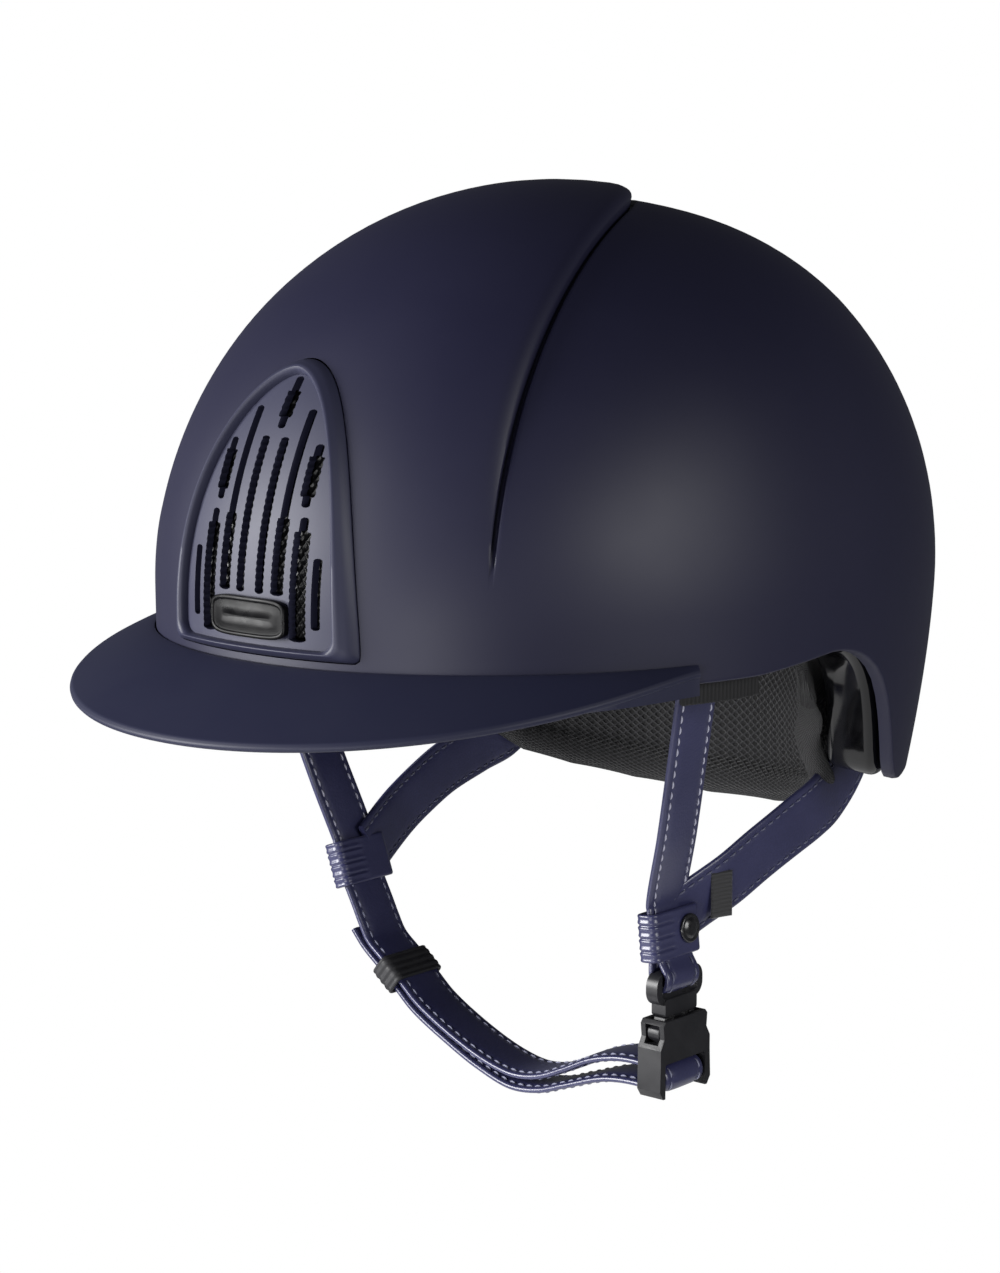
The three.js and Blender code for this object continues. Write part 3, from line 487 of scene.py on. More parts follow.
def peak_loops(stations):
    """Closed sections round the front. Its reach and drop follow powers of q = 1 - (angle / half)^2."""
    degrees = PEAK_HALF_ANGLE * np.sin(np.linspace(-np.pi / 2, np.pi / 2, stations))[:, None]
    phi = np.radians(degrees)
    q = np.clip(1 - (degrees / PEAK_HALF_ANGLE) ** 2, 0, 1)
    reach = 1.6 + PEAK_REACH * q ** 1.25
    edge_z = -1.5 - PEAK_DROP * q ** 1.5
    root = dome_radius(phi, FRONT_RIM_Z) + 0.5
    s = np.array([-0.002, 0.0, 0.008, 0.03, 0.08, 0.16, 0.26, 0.37, 0.48, 0.59, 0.70, 0.80, 0.88, 0.94, 0.98,
                  1.0])[None, :]
    lip = np.zeros(s.shape)
    lip[0, :3] = -0.9, -0.3, -0.05
    top_r = root + reach * s
    top_z = -0.2 + (edge_z + 0.2) * np.clip(s, 0, 1) ** 1.2 + lip
    around = np.radians([62, 30, 0, -30, -60, -85])[None, :]
    nose_r = root + reach - 0.5 + 1.2 * np.cos(around)
    nose_z = edge_z - 1.15 + 1.15 * np.sin(around)
    under = FRONT_RIM_Z - 0.5
    inward = np.array([0.93, 0.84, 0.72, 0.58, 0.45, 0.3, 0.16])[None, :]
    under_r = root + reach * inward
    under_z = np.minimum(under - 2.2, (edge_z + 0.2) * inward ** 1.2 - PEAK_EDGE - 0.2)
    foot_r = root - SHELL_THICKNESS - 1.6 + 0 * reach
    foot = [(foot_r + 0.6, under - 2.4), (foot_r, under - 1.8), (foot_r, under), (root - 0.3, under)]
    foot_points = np.stack([np.stack([r, np.broadcast_to(z, r.shape)], -1)[:, 0] for r, z in foot], 1)
    ring = np.concatenate([np.stack([top_r, top_z], -1), np.stack([nose_r, nose_z], -1),
                           np.stack([under_r, under_z], -1), foot_points], 1)
    r, z = ring[..., 0], ring[..., 1]
    return np.stack([r * np.sin(phi), PLAN_CENTRE_Y - r * np.cos(phi), z], -1)


def capped_loft(name, loops):
    """Body through a row of closed loops, with each end drawn in to the middle of its loop."""
    ends = [np.repeat(loop.mean(0, keepdims=True), len(loop), 0) for loop in (loops[0], loops[-1])]
    return grid_mesh(name, np.concatenate([ends[0][None], loops, ends[1][None]]), closed=(False, True))


peak = capped_loft("peak_brim", peak_loops(181))
peak_plastic = matt_paint("soft-touch navy plastic", "#1c1e36", "#202238", 0.52, 0.6)
coat(peak, peak_plastic, 50)
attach(peak, "root")
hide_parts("peak")

# ---- Front grille ----
# A satin moulding snapped into the arch-shaped hole. A raised ridge runs round a panel of upright
# ventilation slots, some of them widened, with saw-like edges, and a fine black mesh closes them from behind.
PANEL_PROUD = 1.2
TOOTHED_FROM, TOOTH_DEPTH, TOOTH_PITCH = 1.5, 0.28, 1.9


def on_front(x, z, proud):
    """Points on the front of the dome at x and z, lifted off the skin along its normal."""
    x, z, proud = np.broadcast_arrays(np.asarray(x, float), np.asarray(z, float), np.asarray(proud, float))
    start = np.stack([x, np.full(x.shape, PLAN_CENTRE_Y), z], -1)
    skin = hit_dome(start, np.broadcast_to(np.array([0.0, -1.0, 0.0]), start.shape))
    return skin + dome_normal(skin) * proud[..., None]


# The ridge in section: share of the way from the outer outline to the inner one, and height off the skin.
RIDGE = np.array([(0, -4), (0, -0.1), (0.015, 0.25), (0.05, 0.6), (0.12, 1.15), (0.2, 1.7), (0.3, 2.25),
                  (0.4, 2.7), (0.5, 3.05), (0.6, 3.45), (0.68, 3.75), (0.76, 3.92), (0.83, 3.9), (0.9, 3.6),
                  (0.95, 3.1), (0.98, 2.5), (1, 1.7), (1.01, -4)])


def grille_ridge():
    """Loops of the ridge profile set round the arch, from the outer outline to the inner one."""
    outer, inner_curve = arch_outline(GRILLE_OUTER, 90), arch_outline(GRILLE_INNER, 90)
    across = RIDGE[None, :, :1]
    place = outer[:, None, :] * (1 - across) + inner_curve[:, None, :] * across
    points = on_front(place[..., 0], place[..., 1], np.broadcast_to(RIDGE[None, :, 1], place.shape[:2]))
    return grid_mesh("grille_ridge", points, closed=(True, True))


def front_sheet(name, proud, behind, half=31.5, low=1.5, high=82, columns=64, rows=82):
    """Closed curved sheet over the front of the dome, between two heights off the skin."""
    x, z = np.meshgrid(np.linspace(-half, half, columns), np.linspace(low, high, rows))
    return two_sheets(name, on_front(x, z, proud), on_front(x, z, behind))


def rounded_end(distance, reach, least):
    """Quarter circle that rises from the least value at an end to 1 at a reach from it."""
    return np.sqrt(np.clip(1 - (1 - np.clip(distance / reach, 0, 1)) ** 2, least, 1))


def slot_outline(x, bands):
    """Slot in the front view: half widths over bands of height, less squared-cosine teeth on wide bands."""
    z_parts, w_parts = [], []
    for low, high, half in bands:
        z = np.linspace(low, high, max(3, int((high - low) / 0.3)))
        w = np.full(z.shape, half)
        if half > TOOTHED_FROM:
            w = w - TOOTH_DEPTH * (0.5 + 0.5 * np.cos((z - low) / TOOTH_PITCH * 2 * np.pi)) ** 2
        z_parts.append(z)
        w_parts.append(w)
    z, w = np.concatenate(z_parts), np.concatenate(w_parts)
    w = w * rounded_end(np.minimum(z - z[0], z[-1] - z), 0.7, 0.12)
    return np.vstack([np.stack([x + w, z], -1), np.stack([x - w, z], -1)[::-1]])


# Each slot's place across the front, then its bands: from, to and half width.
NARROW, WIDE = 1.45, 2.55
SLOTS = [(0.6, [(64.2, 67.2, NARROW), (67.3, 74.2, WIDE), (74.3, 78.2, NARROW)])]
for side in (-1, 1):
    SLOTS += [(side * 3.7, [(19.2, 62, 1.65)]),
              (side * 10.2, [(19.2, 40.4, 2.35), (40.5, 69.8, NARROW)]),
              (side * 16.6, [(43.8, 46.6, NARROW), (46.7, 57.4, WIDE), (57.5, 60.8, NARROW)]),
              (side * 17.3, [(6.9, 37.2, 2.85), (37.3, 41.2, NARROW)]),
              (side * 23.2, [(10.6, 30.4, NARROW)])]
grille_panel = front_sheet("grille_panel", PANEL_PROUD, -1.4)
carve(grille_panel, prism("panel edge", evenly(arch_outline(GRILLE_INNER, 80, 0.7), 170)), "INTERSECT")
for slot_x, bands in SLOTS:
    carve(grille_panel, prism("slot", slot_outline(slot_x, bands)))
grille = grille_ridge()
carve(grille, grille_panel, "UNION")
grille.name = "grille"
grille_plastic = matt_paint("satin navy moulding", "#2c2d42", "#303146", 0.47, 0.53)
coat(grille, grille_plastic, 32)
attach(grille, "root")
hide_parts("grille_frame")

# A sheet of black wire mesh lies behind the slots, bonded to the back of the panel. Its wires cross on the
# slant, 2.2 mm apart.
WIRE_PITCH, WIRE_HEIGHT = 2.2, 0.5


def mesh_behind_slots():
    """Front sheet whose height is the larger of two slanting rows of round-topped wires."""
    x, z = np.meshgrid(np.linspace(-25.8, 25.8, 190), np.linspace(7.5, 75.5, 250))
    wire = lambda u: np.clip(1 - (np.abs((u / WIRE_PITCH) % 1 - 0.5) / 0.2) ** 2, 0, 1) ** 0.5
    height = WIRE_HEIGHT * np.maximum(wire(x * 0.8 + z * 0.6), wire(x * 0.8 - z * 0.6))
    return two_sheets("wire_mesh", on_front(x, z, -2.6 + height), on_front(x, z, -3.0))


wire_mesh = mesh_behind_slots()
carve(wire_mesh, prism("mesh edge", evenly(arch_outline(GRILLE_INNER, 60, -2.2), 120)), "INTERSECT")
material, tree, shader = new_material("black lacquered wire mesh", "#0c0c0e", 0.38)
lacquer = noise(tree, object_coordinates(tree), 900, 2)
tree.links.new(between(tree, lacquer, 0.3, 0.7, 0.3, 0.5), shader.inputs["Roughness"])
roughen(tree, shader, lacquer, 0.02, 0.5)
coat(wire_mesh, material, 60)
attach(wire_mesh, "root")
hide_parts("grille_mesh")

# ---- Maker's plate ----
# A small polished black tile pressed on over the lower slots. It has a raised border and a slightly crowned,
# blank face.
PLATE_X, PLATE_Z, PLATE_HALF_WIDTH, PLATE_HALF_HEIGHT = 0.6, 12.6, 14.0, 5.6


def plate_tile():
    """Rings of a squared-off oval |u|^n + |v|^n = 1 that shrink to the middle, each with its own height."""
    turn = np.linspace(0, 2 * np.pi, 120, endpoint=False)
    n = 5.0
    unit = (np.abs(np.cos(turn)) ** n + np.abs(np.sin(turn)) ** n) ** (-1 / n)
    u, v = unit * np.cos(turn), unit * np.sin(turn)
    middle = PLATE_HALF_HEIGHT - 0.6
    rings = [(PLATE_HALF_WIDTH - 0.6, PLATE_HALF_HEIGHT - 0.2, 0.35), (0.9, 0.2, 0.35), (0, 0, 0.45),
             (0, 0, 1.9), (0.12, 0.12, 2.25), (0.4, 0.4, 2.4), (0.9, 0.9, 2.4), (1.15, 1.15, 2.25),
             (1.3, 1.3, 2.02), (1.7, 1.7, 2.0), (3.0, 3.0, 2.08), (middle, middle, 2.2)]
    rows = []
    for shrink_x, shrink_z, height in rings:
        x = PLATE_X + u * (PLATE_HALF_WIDTH - shrink_x)
        z = PLATE_Z + v * (PLATE_HALF_HEIGHT - shrink_z)
        rows.append(on_front(x, z, PANEL_PROUD + height))
    ends = [np.repeat(row.mean(0, keepdims=True), len(row), 0) for row in (rows[0], rows[-1])]
    return grid_mesh("plate", np.stack([ends[0], *rows, ends[1]]), closed=(False, True))


plate = plate_tile()
material, tree, shader = new_material("polished black acrylic", "#08080a", 0.34, Specular_IOR_Level=0.12)
smear = noise(tree, object_coordinates(tree), 220, 3)
tree.links.new(between(tree, smear, 0.35, 0.65, 0.26, 0.38), shader.inputs["Roughness"])
roughen(tree, shader, smear, 0.01, 0.3)
coat(plate, material, 40)
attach(plate, "root")
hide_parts("grille_plate")

# ---- Impact liner and the black moulding behind the ears ----
# The liner is one block of black expanded polystyrene that fills the shell. It is moulded from swollen beads,
# and a polished black moulding clips over its thick edge from ear to ear.
foam_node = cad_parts["impact_liner"]
material, tree, shader = new_material("expanded polystyrene", "#1b1b1d", 0.85)
where = object_coordinates(tree)
beads = add_node(tree, "TexVoronoi", Vector=where, Scale=330.0).outputs["Distance"]
tree.links.new(mixed_colour(tree, beads, "#202023", "#0f0f10"), shader.inputs["Base Color"])
roughen(tree, shader, beads, 0.35, -0.7)
coat(foam_node, material)

COVER_OUTER, COVER_DEEP, COVER_HEIGHT = 5.6, 22.0, 14.0
COVER_FROM, COVER_TO = 97.0, 263.0


def under_skin(phi, z, depth):
    """Points of the dome at an angle round the plan and a height, moved inwards along the normal."""
    r = dome_radius(phi, z)
    skin = np.stack([r * np.sin(phi), PLAN_CENTRE_Y - r * np.cos(phi), z], -1)
    return skin - dome_normal(skin) * np.asarray(depth)[..., None]


def rim_frames(degrees, step=0.6):
    """Points of the rim at angles round the plan, with the unit direction square to it up the dome."""
    turn = np.where(degrees > 180, 360 - degrees, degrees)
    sign = np.where(degrees > 180, -1.0, 1.0)
    z = rim_at(turn)
    slope_z = rim_at(turn + step) - rim_at(turn - step)
    radius = dome_radius(np.radians(turn), z)
    slope_arc = np.radians(2 * step) * radius
    size = np.hypot(slope_arc, slope_z)
    return turn, sign, z, radius, -slope_z / size, slope_arc / size


def rim_sweep(name, degrees, profile):
    """A profile of (inset, rise) carried along the rim. Rise goes square to the rim up the dome, inset goes
    inwards along the dome's normal."""
    turn, sign, z, radius, up_arc, up_z = rim_frames(degrees)
    inset, rise = profile[:, 0][None, :], profile[:, 1][None, :]
    phi = np.radians(turn)[:, None] + rise * up_arc[:, None] / radius[:, None]
    height = z[:, None] + rise * up_z[:, None]
    points = under_skin(phi, height, inset)
    points[..., 0] *= sign[:, None]
    return capped_loft(name, points)


def rounded_box(low_x, high_x, low_y, high_y, radius, steps=6):
    """Closed profile of a rectangle with round corners, anticlockwise."""
    corners = [(high_x - radius, high_y - radius, 0), (low_x + radius, high_y - radius, 90),
               (low_x + radius, low_y + radius, 180), (high_x - radius, low_y + radius, 270)]
    parts = []
    for cx, cy, start in corners:
        turn = np.radians(start + np.linspace(0, 90, steps))
        parts.append(np.stack([cx + radius * np.cos(turn), cy + radius * np.sin(turn)], -1))
    return np.vstack(parts)


cover = rim_sweep("ear_cover", np.linspace(COVER_FROM, COVER_TO, 260),
                  rounded_box(COVER_OUTER, COVER_DEEP, -0.4, COVER_HEIGHT, 3.4, 8))
gloss, tree, shader = new_material("polished black ABS", "#08080a", 0.12, Specular_IOR_Level=0.35,
                                   Coat_Weight=0.2, Coat_Roughness=0.04)
swirl = noise(tree, object_coordinates(tree), 140, 3)
tree.links.new(between(tree, swirl, 0.35, 0.65, 0.09, 0.17), shader.inputs["Roughness"])
roughen(tree, shader, swirl, 0.01, 0.3)
coat(cover, gloss, 60)
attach(cover, "root")
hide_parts("rear_inner_cover")

# ---- Comfort liner ----
# Removable pads of soft foam in a knitted cover: a headband over the brow, a pad over each ear, a crown pad,
# and a deep cradle for the nape that hangs below the tail and ends in a thick rolled hem.
PAD_OUTER, PAD_INNER = 25.8, 31.8
PAD_HALF = (PAD_INNER - PAD_OUTER) / 2
PAD_MIDDLE = (PAD_OUTER + PAD_INNER) / 2


def knit_cloth(name, colour_a, colour_b, pitch_mm, depth_mm):
    """Warp-knitted spacer mesh: lozenge holes in a dark yarn, drawn about 3 mm apart so that they show. The
    cloth scatters light softly. Its colour follows the relief: painted shade darkens the holes to near black,
    and the high ribs keep the yarn's own grey."""
    material, tree, shader = new_material(name, colour_a, 0.9)
    shader.inputs["Sheen Weight"].default_value = 0.12
    shader.inputs["Sheen Roughness"].default_value = 0.4
    place = add_node(tree, "UVMap", uv_map="cloth").outputs["UV"]
    parts = add_node(tree, "SeparateXYZ", Vector=place)
    wave = []
    for sign in (1, -1):
        slant = add_node(tree, "Math", operation="MULTIPLY_ADD", in0=parts.outputs["Y"], in1=0.62 * sign,
                         in2=parts.outputs["X"])
        turn = add_node(tree, "Math", operation="MULTIPLY", in0=slant.outputs[0], in1=2 * np.pi / pitch_mm)
        sine = add_node(tree, "Math", operation="SINE", in0=turn.outputs[0])
        wave.append(add_node(tree, "Math", operation="ABSOLUTE", in0=sine.outputs[0]).outputs[0])
    hole = add_node(tree, "Math", operation="MULTIPLY", in0=wave[0], in1=wave[1]).outputs[0]
    rib = between(tree, hole, 0.05, 0.62, 1.0, 0.0)
    fuzz = noise(tree, object_coordinates(tree), 1400, 2)
    relief = add_node(tree, "Math", operation="MULTIPLY_ADD", in0=fuzz, in1=0.22, in2=rib).outputs[0]
    # painted shade: the colour follows the relief, near black in the knit's holes and the yarn's grey on the
    # high ribs
    tree.links.new(mixed_colour(tree, relief, colour_a, colour_b), shader.inputs["Base Color"])
    roughen(tree, shader, relief, depth_mm, 0.8)
    return material


def cloth_map(obj, rows, cols, width_mm, height_mm):
    """UV map in mm for a closed grid: columns run round the piece and rows along it, found from each face's
    own corners so that the wrap-round faces keep an even scale."""
    mesh = obj.data
    layer = mesh.uv_layers.new(name="cloth")
    corner_vertex = np.empty(len(mesh.loops), int)
    mesh.loops.foreach_get("vertex_index", corner_vertex)
    row, col = corner_vertex // cols, corner_vertex % cols
    start = np.empty(len(mesh.polygons), int)
    total = np.empty(len(mesh.polygons), int)
    mesh.polygons.foreach_get("loop_start", start)
    mesh.polygons.foreach_get("loop_total", total)
    face = np.repeat(np.arange(len(start)), total)
    biggest = np.maximum.reduceat(col, start)[face]
    col = np.where(biggest - col > cols // 2, col + cols, col)
    uv = np.stack([col / cols * width_mm, row / max(rows - 1, 1) * height_mm], -1)
    layer.data.foreach_set("uv", uv.astype(np.float32).ravel())


def plain_grid(name, points):
    """Closed grid whose columns wrap round and whose first and last rows are drawn in to a point. Nothing is
    merged, so vertex numbers still tell rows and columns."""
    points = np.asarray(points, float)
    hair = 0.000001
    ends = [row.mean(0, keepdims=True) * (1 - hair) + row * hair for row in (points[0], points[-1])]
    grid = np.concatenate([ends[0][None], points, ends[1][None]])
    rows, cols = grid.shape[:2]
    index = np.arange(rows * cols).reshape(rows, cols)
    wrapped = np.hstack([index, index[:, :1]])
    quads = np.stack([wrapped[:-1, :-1], wrapped[:-1, 1:], wrapped[1:, 1:], wrapped[1:, :-1]], -1)
    quads = quads.reshape(-1, 4)
    flat = grid.reshape(-1, 3)
    corners = flat[quads]
    middle = corners.mean(1)
    normal = np.cross(corners[:, 2] - corners[:, 0], corners[:, 3] - corners[:, 1])
    if (middle * normal).sum() < 0:
        quads = quads[:, ::-1]
    mesh = bpy.data.meshes.new(name)
    mesh.from_pydata((flat * MM).tolist(), [], quads.tolist())
    obj = bpy.data.objects.new(name, mesh)
    bpy.context.scene.collection.objects.link(obj)
    return obj, rows, cols


HEM_SHARE, HEM_HALF, NAPE_HALF = 0.14, 4.2, 3.0
NAPE_FROM = 104.0
# Height of the cradle's hem and of its top at angles round the plan.
NAPE_LOW = np.array([(104, -30), (110, -39), (117, -50), (124, -60), (132, -68), (144, -74), (160, -78.5),
                     (180, -80.5)], float)
NAPE_TOP = np.array([(104, -2), (110, -1), (124, 0), (180, 4)], float)


def nape_section(t, side):
    """Offset of the cradle's face from its middle sheet at height share t, 0 at the hem and 1 at the top: a
    thick roll at the hem, a stitched valley above it, then an even pad that thins to its top edge."""
    hem = HEM_HALF * np.sqrt(np.clip(1 - ((t - HEM_SHARE / 2) / (HEM_SHARE / 2)) ** 2, 0, 1))
    top = np.sqrt(np.clip((1 - t) / 0.06, 0, 1))
    pad = 1.0 + 2.0 * np.clip((t - HEM_SHARE) / 0.10, 0, 1) ** 0.5 * top
    pad = np.where(t > 0.94, NAPE_HALF * top, pad)
    hem = np.maximum(hem, 0.9 * smooth_step(HEM_SHARE - 0.02, HEM_SHARE, t))
    return side * np.where(t < HEM_SHARE, hem, pad)


def nape_cradle(stations=220, around=120):
    """Sections from ear to ear round the back. Each is a closed loop down the outer face, round the hem and
    up the inner face, with a slow ripple along the hem where the cover is gathered."""
    along = 0.5 - 0.5 * np.cos(np.linspace(0.02, np.pi - 0.02, stations))
    degrees = NAPE_FROM + 0.5 + (359 - 2 * NAPE_FROM) * along
    turn = np.where(degrees > 180, 360 - degrees, degrees)
    low = np.interp(turn, NAPE_LOW[:, 0], NAPE_LOW[:, 1])
    top = np.interp(turn, NAPE_TOP[:, 0], NAPE_TOP[:, 1])
    ends = rounded_end(np.minimum(degrees - NAPE_FROM, 360 - NAPE_FROM - degrees), 5.0, 0.02)
    middle = (low + top) / 2
    half = (top - low) / 2 * (0.72 + 0.28 * ends)
    down = 0.5 - 0.5 * np.cos(np.linspace(1, 0, around // 2) * np.pi)
    t = np.concatenate([down, down[::-1][1:-1]])
    side = np.concatenate([np.full(len(down), 1.0), np.full(len(down) - 2, -1.0)])
    offset = nape_section(t, side)[None, :] * (0.4 + 0.6 * ends[:, None])
    ripple = 0.35 * np.sin(degrees * 1.9)[:, None] * np.exp(-((t - 0.2) / 0.12) ** 2)[None, :] * side[None, :]
    z = (middle - half)[:, None] + (2 * half)[:, None] * t[None, :]
    spread = 6.0 * smooth_step(-10, 20, rim_at(turn)[:, None] - z)
    return under_skin(np.radians(degrees)[:, None] + 0 * z, z, PAD_MIDDLE - offset - ripple - spread)


def band_pad(from_degrees, to_degrees, low, high, stations=120, around=48):
    """Pad on the inside of the dome over a span of angles and heights, oval in section and puffed between
    cross seams about 30 mm apart."""
    degrees = np.linspace(from_degrees, to_degrees, stations)
    share = (degrees - from_degrees) / (to_degrees - from_degrees)
    ends = rounded_end(np.minimum(share, 1 - share) * (to_degrees - from_degrees), 4.0, 0.02)
    count = max(1, round(np.radians(to_degrees - from_degrees) * 90 / 30))
    seams = np.exp(-((np.abs(np.sin(share * count * np.pi))) / 0.16) ** 2)
    puff = 1 - 0.22 * seams * (share > 0.03) * (share < 0.97)
    turn = np.linspace(0, 2 * np.pi, around, endpoint=False)
    c, s = np.cos(turn), np.sin(turn)
    height, thick = np.sign(s) * np.abs(s) ** 0.6, np.sign(c) * np.abs(c) ** 0.75
    z = (low + high) / 2 + (high - low) / 2 * height[None, :] * (0.75 + 0.25 * ends[:, None])
    depth = PAD_MIDDLE - PAD_HALF * thick[None, :] * (puff * ends)[:, None]
    return under_skin(np.radians(degrees)[:, None] + 0 * z, z, depth)


def crown_disc(rings=26, around=120):
    """Cap of the dome round the crown: rings from the middle out to the rim over the lower face and back over
    the upper one, rounded at the rim and drawn in by one circle of quilting."""
    turn = np.linspace(0, 2 * np.pi, around, endpoint=False)
    lower = [(1 - k / (rings - 1), -1) for k in range(rings)]
    upper = [(k / (rings - 1), 1) for k in range(1, rings)]
    grid = []
    for s, side in lower + upper:
        lift = PAD_HALF * rounded_end(s, 0.22, 0) * (1 - 0.3 * np.exp(-((s - 0.5) / 0.05) ** 2))
        z = np.full(around, DISC_RIM_Z + (CROWN_Z - 0.02 - DISC_RIM_Z) * (1 - (1 - s) ** 2))
        grid.append(under_skin(turn, z, PAD_INNER - side * lift))
    return np.stack(grid)


DISC_RIM_Z = 118
# 040405 is painted shade for the knit's holes, #29292c the yarn's own charcoal
liner_knit = knit_cloth("charcoal spacer knit", "#040405", "#29292c", 3.2, 0.9)
for name, points, size, node, fill in (
        ("nape_cradle", nape_cradle(), (150, 260), "nape_pad", 0.55),
        ("brow_band", band_pad(-62, 62, 0, 26), (66, 200), "headband_pad", 0.5),
        ("ear_pad_left", band_pad(66, 108, 2, 30, stations=60), (70, 70), "side_pad_left", 0.5),
        ("ear_pad_right", band_pad(-108, -66, 2, 30, stations=60), (70, 70), "side_pad_right", 0.5),
        ("crown_cushion", crown_disc(), (250, 90), "crown_pad", 0.5)):
    pad, rows, cols = plain_grid(name, points)
    cloth_map(pad, rows, cols, *size)
    coat(pad, liner_knit, 180)
    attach(pad, "root")
    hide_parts(node)

# ---- Harness straps ----
# Navy leather, folded over a webbing core and sewn along both edges. A front strap and a rear strap come down
# on each side and meet in a leather loop under the ear.
STRAP_WIDTH, STRAP_THICKNESS, HARNESS_Y = 18.0, 2.2, -19.0
STITCH_PITCH, STITCH_LENGTH, STITCH_FROM_EDGE = 3.5, 2.5, 2.3
THREAD_RADIUS, STITCH_SUNK, STITCH_RISE = 0.29, 0.26, 0.22


def smooth_path(points, step=1.0):
    """Centripetal Catmull-Rom curve through the points, sampled about every step: cubic Hermite spans whose
    knots are spaced by the square root of each chord."""
    p = np.asarray(points, float)
    knots = np.concatenate([[0], np.cumsum(np.sqrt(np.linalg.norm(np.diff(p, axis=0), axis=1)))])
    ghost_a, ghost_b = 2 * p[0] - p[1], 2 * p[-1] - p[-2]
    q = np.vstack([ghost_a, p, ghost_b])
    k = np.concatenate([[2 * knots[0] - knots[1]], knots, [2 * knots[-1] - knots[-2]]])[:, None]
    slope = ((q[1:-1] - q[:-2]) / (k[1:-1] - k[:-2]) - (q[2:] - q[:-2]) / (k[2:] - k[:-2])
             + (q[2:] - q[1:-1]) / (k[2:] - k[1:-1]))
    at = np.linspace(0, knots[-1], 40 * len(p))
    i = np.clip(np.searchsorted(knots, at, side="right") - 1, 0, len(p) - 2)
    span = (knots[i + 1] - knots[i])[:, None]
    t = ((at - knots[i])[:, None]) / span
    curve = ((2 * t ** 3 - 3 * t ** 2 + 1) * p[i] + (t ** 3 - 2 * t ** 2 + t) * span * slope[i]
             + (3 * t ** 2 - 2 * t ** 3) * p[i + 1] + (t ** 3 - t ** 2) * span * slope[i + 1])
    length = np.concatenate([[0], np.cumsum(np.linalg.norm(np.diff(curve, axis=0), axis=1))])
    even = np.linspace(0, length[-1], max(8, int(length[-1] / step)))
    return np.stack([np.interp(even, length, curve[:, j]) for j in range(3)], -1)


def strap_frames(path, width):
    """Along, across and face directions along a path. Across is the width direction made square."""
    along = np.gradient(path, axis=0)
    along /= np.linalg.norm(along, axis=1, keepdims=True)
    across = width - along * (along @ width)[:, None]
    across /= np.linalg.norm(across, axis=1, keepdims=True)
    return along, across, np.cross(along, across)


def strap_section(wide, count=44):
    """Squared-off oval |u|^6 + |h|^3 = 1, with a shallow groove along each line of stitches."""
    turn = np.linspace(0, 2 * np.pi, count, endpoint=False)
    c, s = np.cos(turn), np.sin(turn)
    u = wide / 2 * np.sign(c) * np.abs(c) ** 0.42
    h = STRAP_THICKNESS / 2 * np.sign(s) * np.abs(s) ** 0.5
    groove = 0.3 * np.exp(-((np.abs(u) - (wide / 2 - STITCH_FROM_EDGE)) / 0.55) ** 2)
    puff = 0.14 * np.clip(1 - (u / (wide / 2 - STITCH_FROM_EDGE)) ** 2, 0, 1)
    return np.stack([u, h + np.sign(h) * (puff - groove)], -1)


def strap(name, path, width, wide):
    """Strap section carried along a path, with both ends closed."""
    _, across, face = strap_frames(path, width)
    section = strap_section(wide)
    loops = path[:, None] + section[None, :, :1] * across[:, None] + section[None, :, 1:] * face[:, None]
    return plain_grid(name, loops)[0]


def stitch_shapes(name, path, width, wide):
    """Rows of thread along both edges of both faces. Each stitch is a little spindle, six-sided with five
    rings, that dips into the leather at both ends."""
    _, across, face = strap_frames(path, width)
    length = np.concatenate([[0], np.cumsum(np.linalg.norm(np.diff(path, axis=0), axis=1))])
    middles = np.arange(STITCH_PITCH / 2, length[-1] - STITCH_PITCH / 2, STITCH_PITCH)
    rings, sides = 5, 6
    s = np.linspace(-1, 1, rings)
    at = middles[:, None] + s[None, :] * STITCH_LENGTH / 2
    pick = lambda values: np.stack([np.interp(at, length, values[:, k]) for k in range(3)], -1)
    p, w, n = pick(path), pick(across), pick(face)
    turn = np.linspace(0, 2 * np.pi, sides, endpoint=False)
    fat = THREAD_RADIUS * np.sqrt(np.clip(1 - s ** 2, 0.05, 1))
    parts = []
    for edge in (-1, 1):
        for side in (1, -1):
            lift = STRAP_THICKNESS / 2 - STITCH_SUNK + STITCH_RISE * (1 - s ** 2)
            centre = p + w * edge * (wide / 2 - STITCH_FROM_EDGE) + n * (side * lift)[None, :, None]
            ring = (centre[:, :, None] + w[:, :, None] * (fat[:, None] * np.cos(turn))[None, ..., None]
                    + n[:, :, None] * (fat[:, None] * np.sin(turn))[None, ..., None])
            parts.append(ring)
    points = np.concatenate(parts)
    count = len(points)
    index = np.arange(count * rings * sides).reshape(count, rings, sides)
    nxt = np.roll(index, -1, axis=2)
    quads = np.stack([index[:, :-1], nxt[:, :-1], nxt[:, 1:], index[:, 1:]], -1).reshape(-1, 4)
    caps = np.vstack([index[:, 0, ::-1], index[:, -1]])
    mesh = bpy.data.meshes.new(name)
    mesh.from_pydata((points.reshape(-1, 3) * MM).tolist(), [], quads.tolist() + caps.tolist())
    mesh.validate()
    shape = bmesh.new()
    shape.from_mesh(mesh)
    bmesh.ops.recalc_face_normals(shape, faces=shape.faces)
    shape.to_mesh(mesh)
    shape.free()
    obj = bpy.data.objects.new(name, mesh)
    bpy.context.scene.collection.objects.link(obj)
    return obj


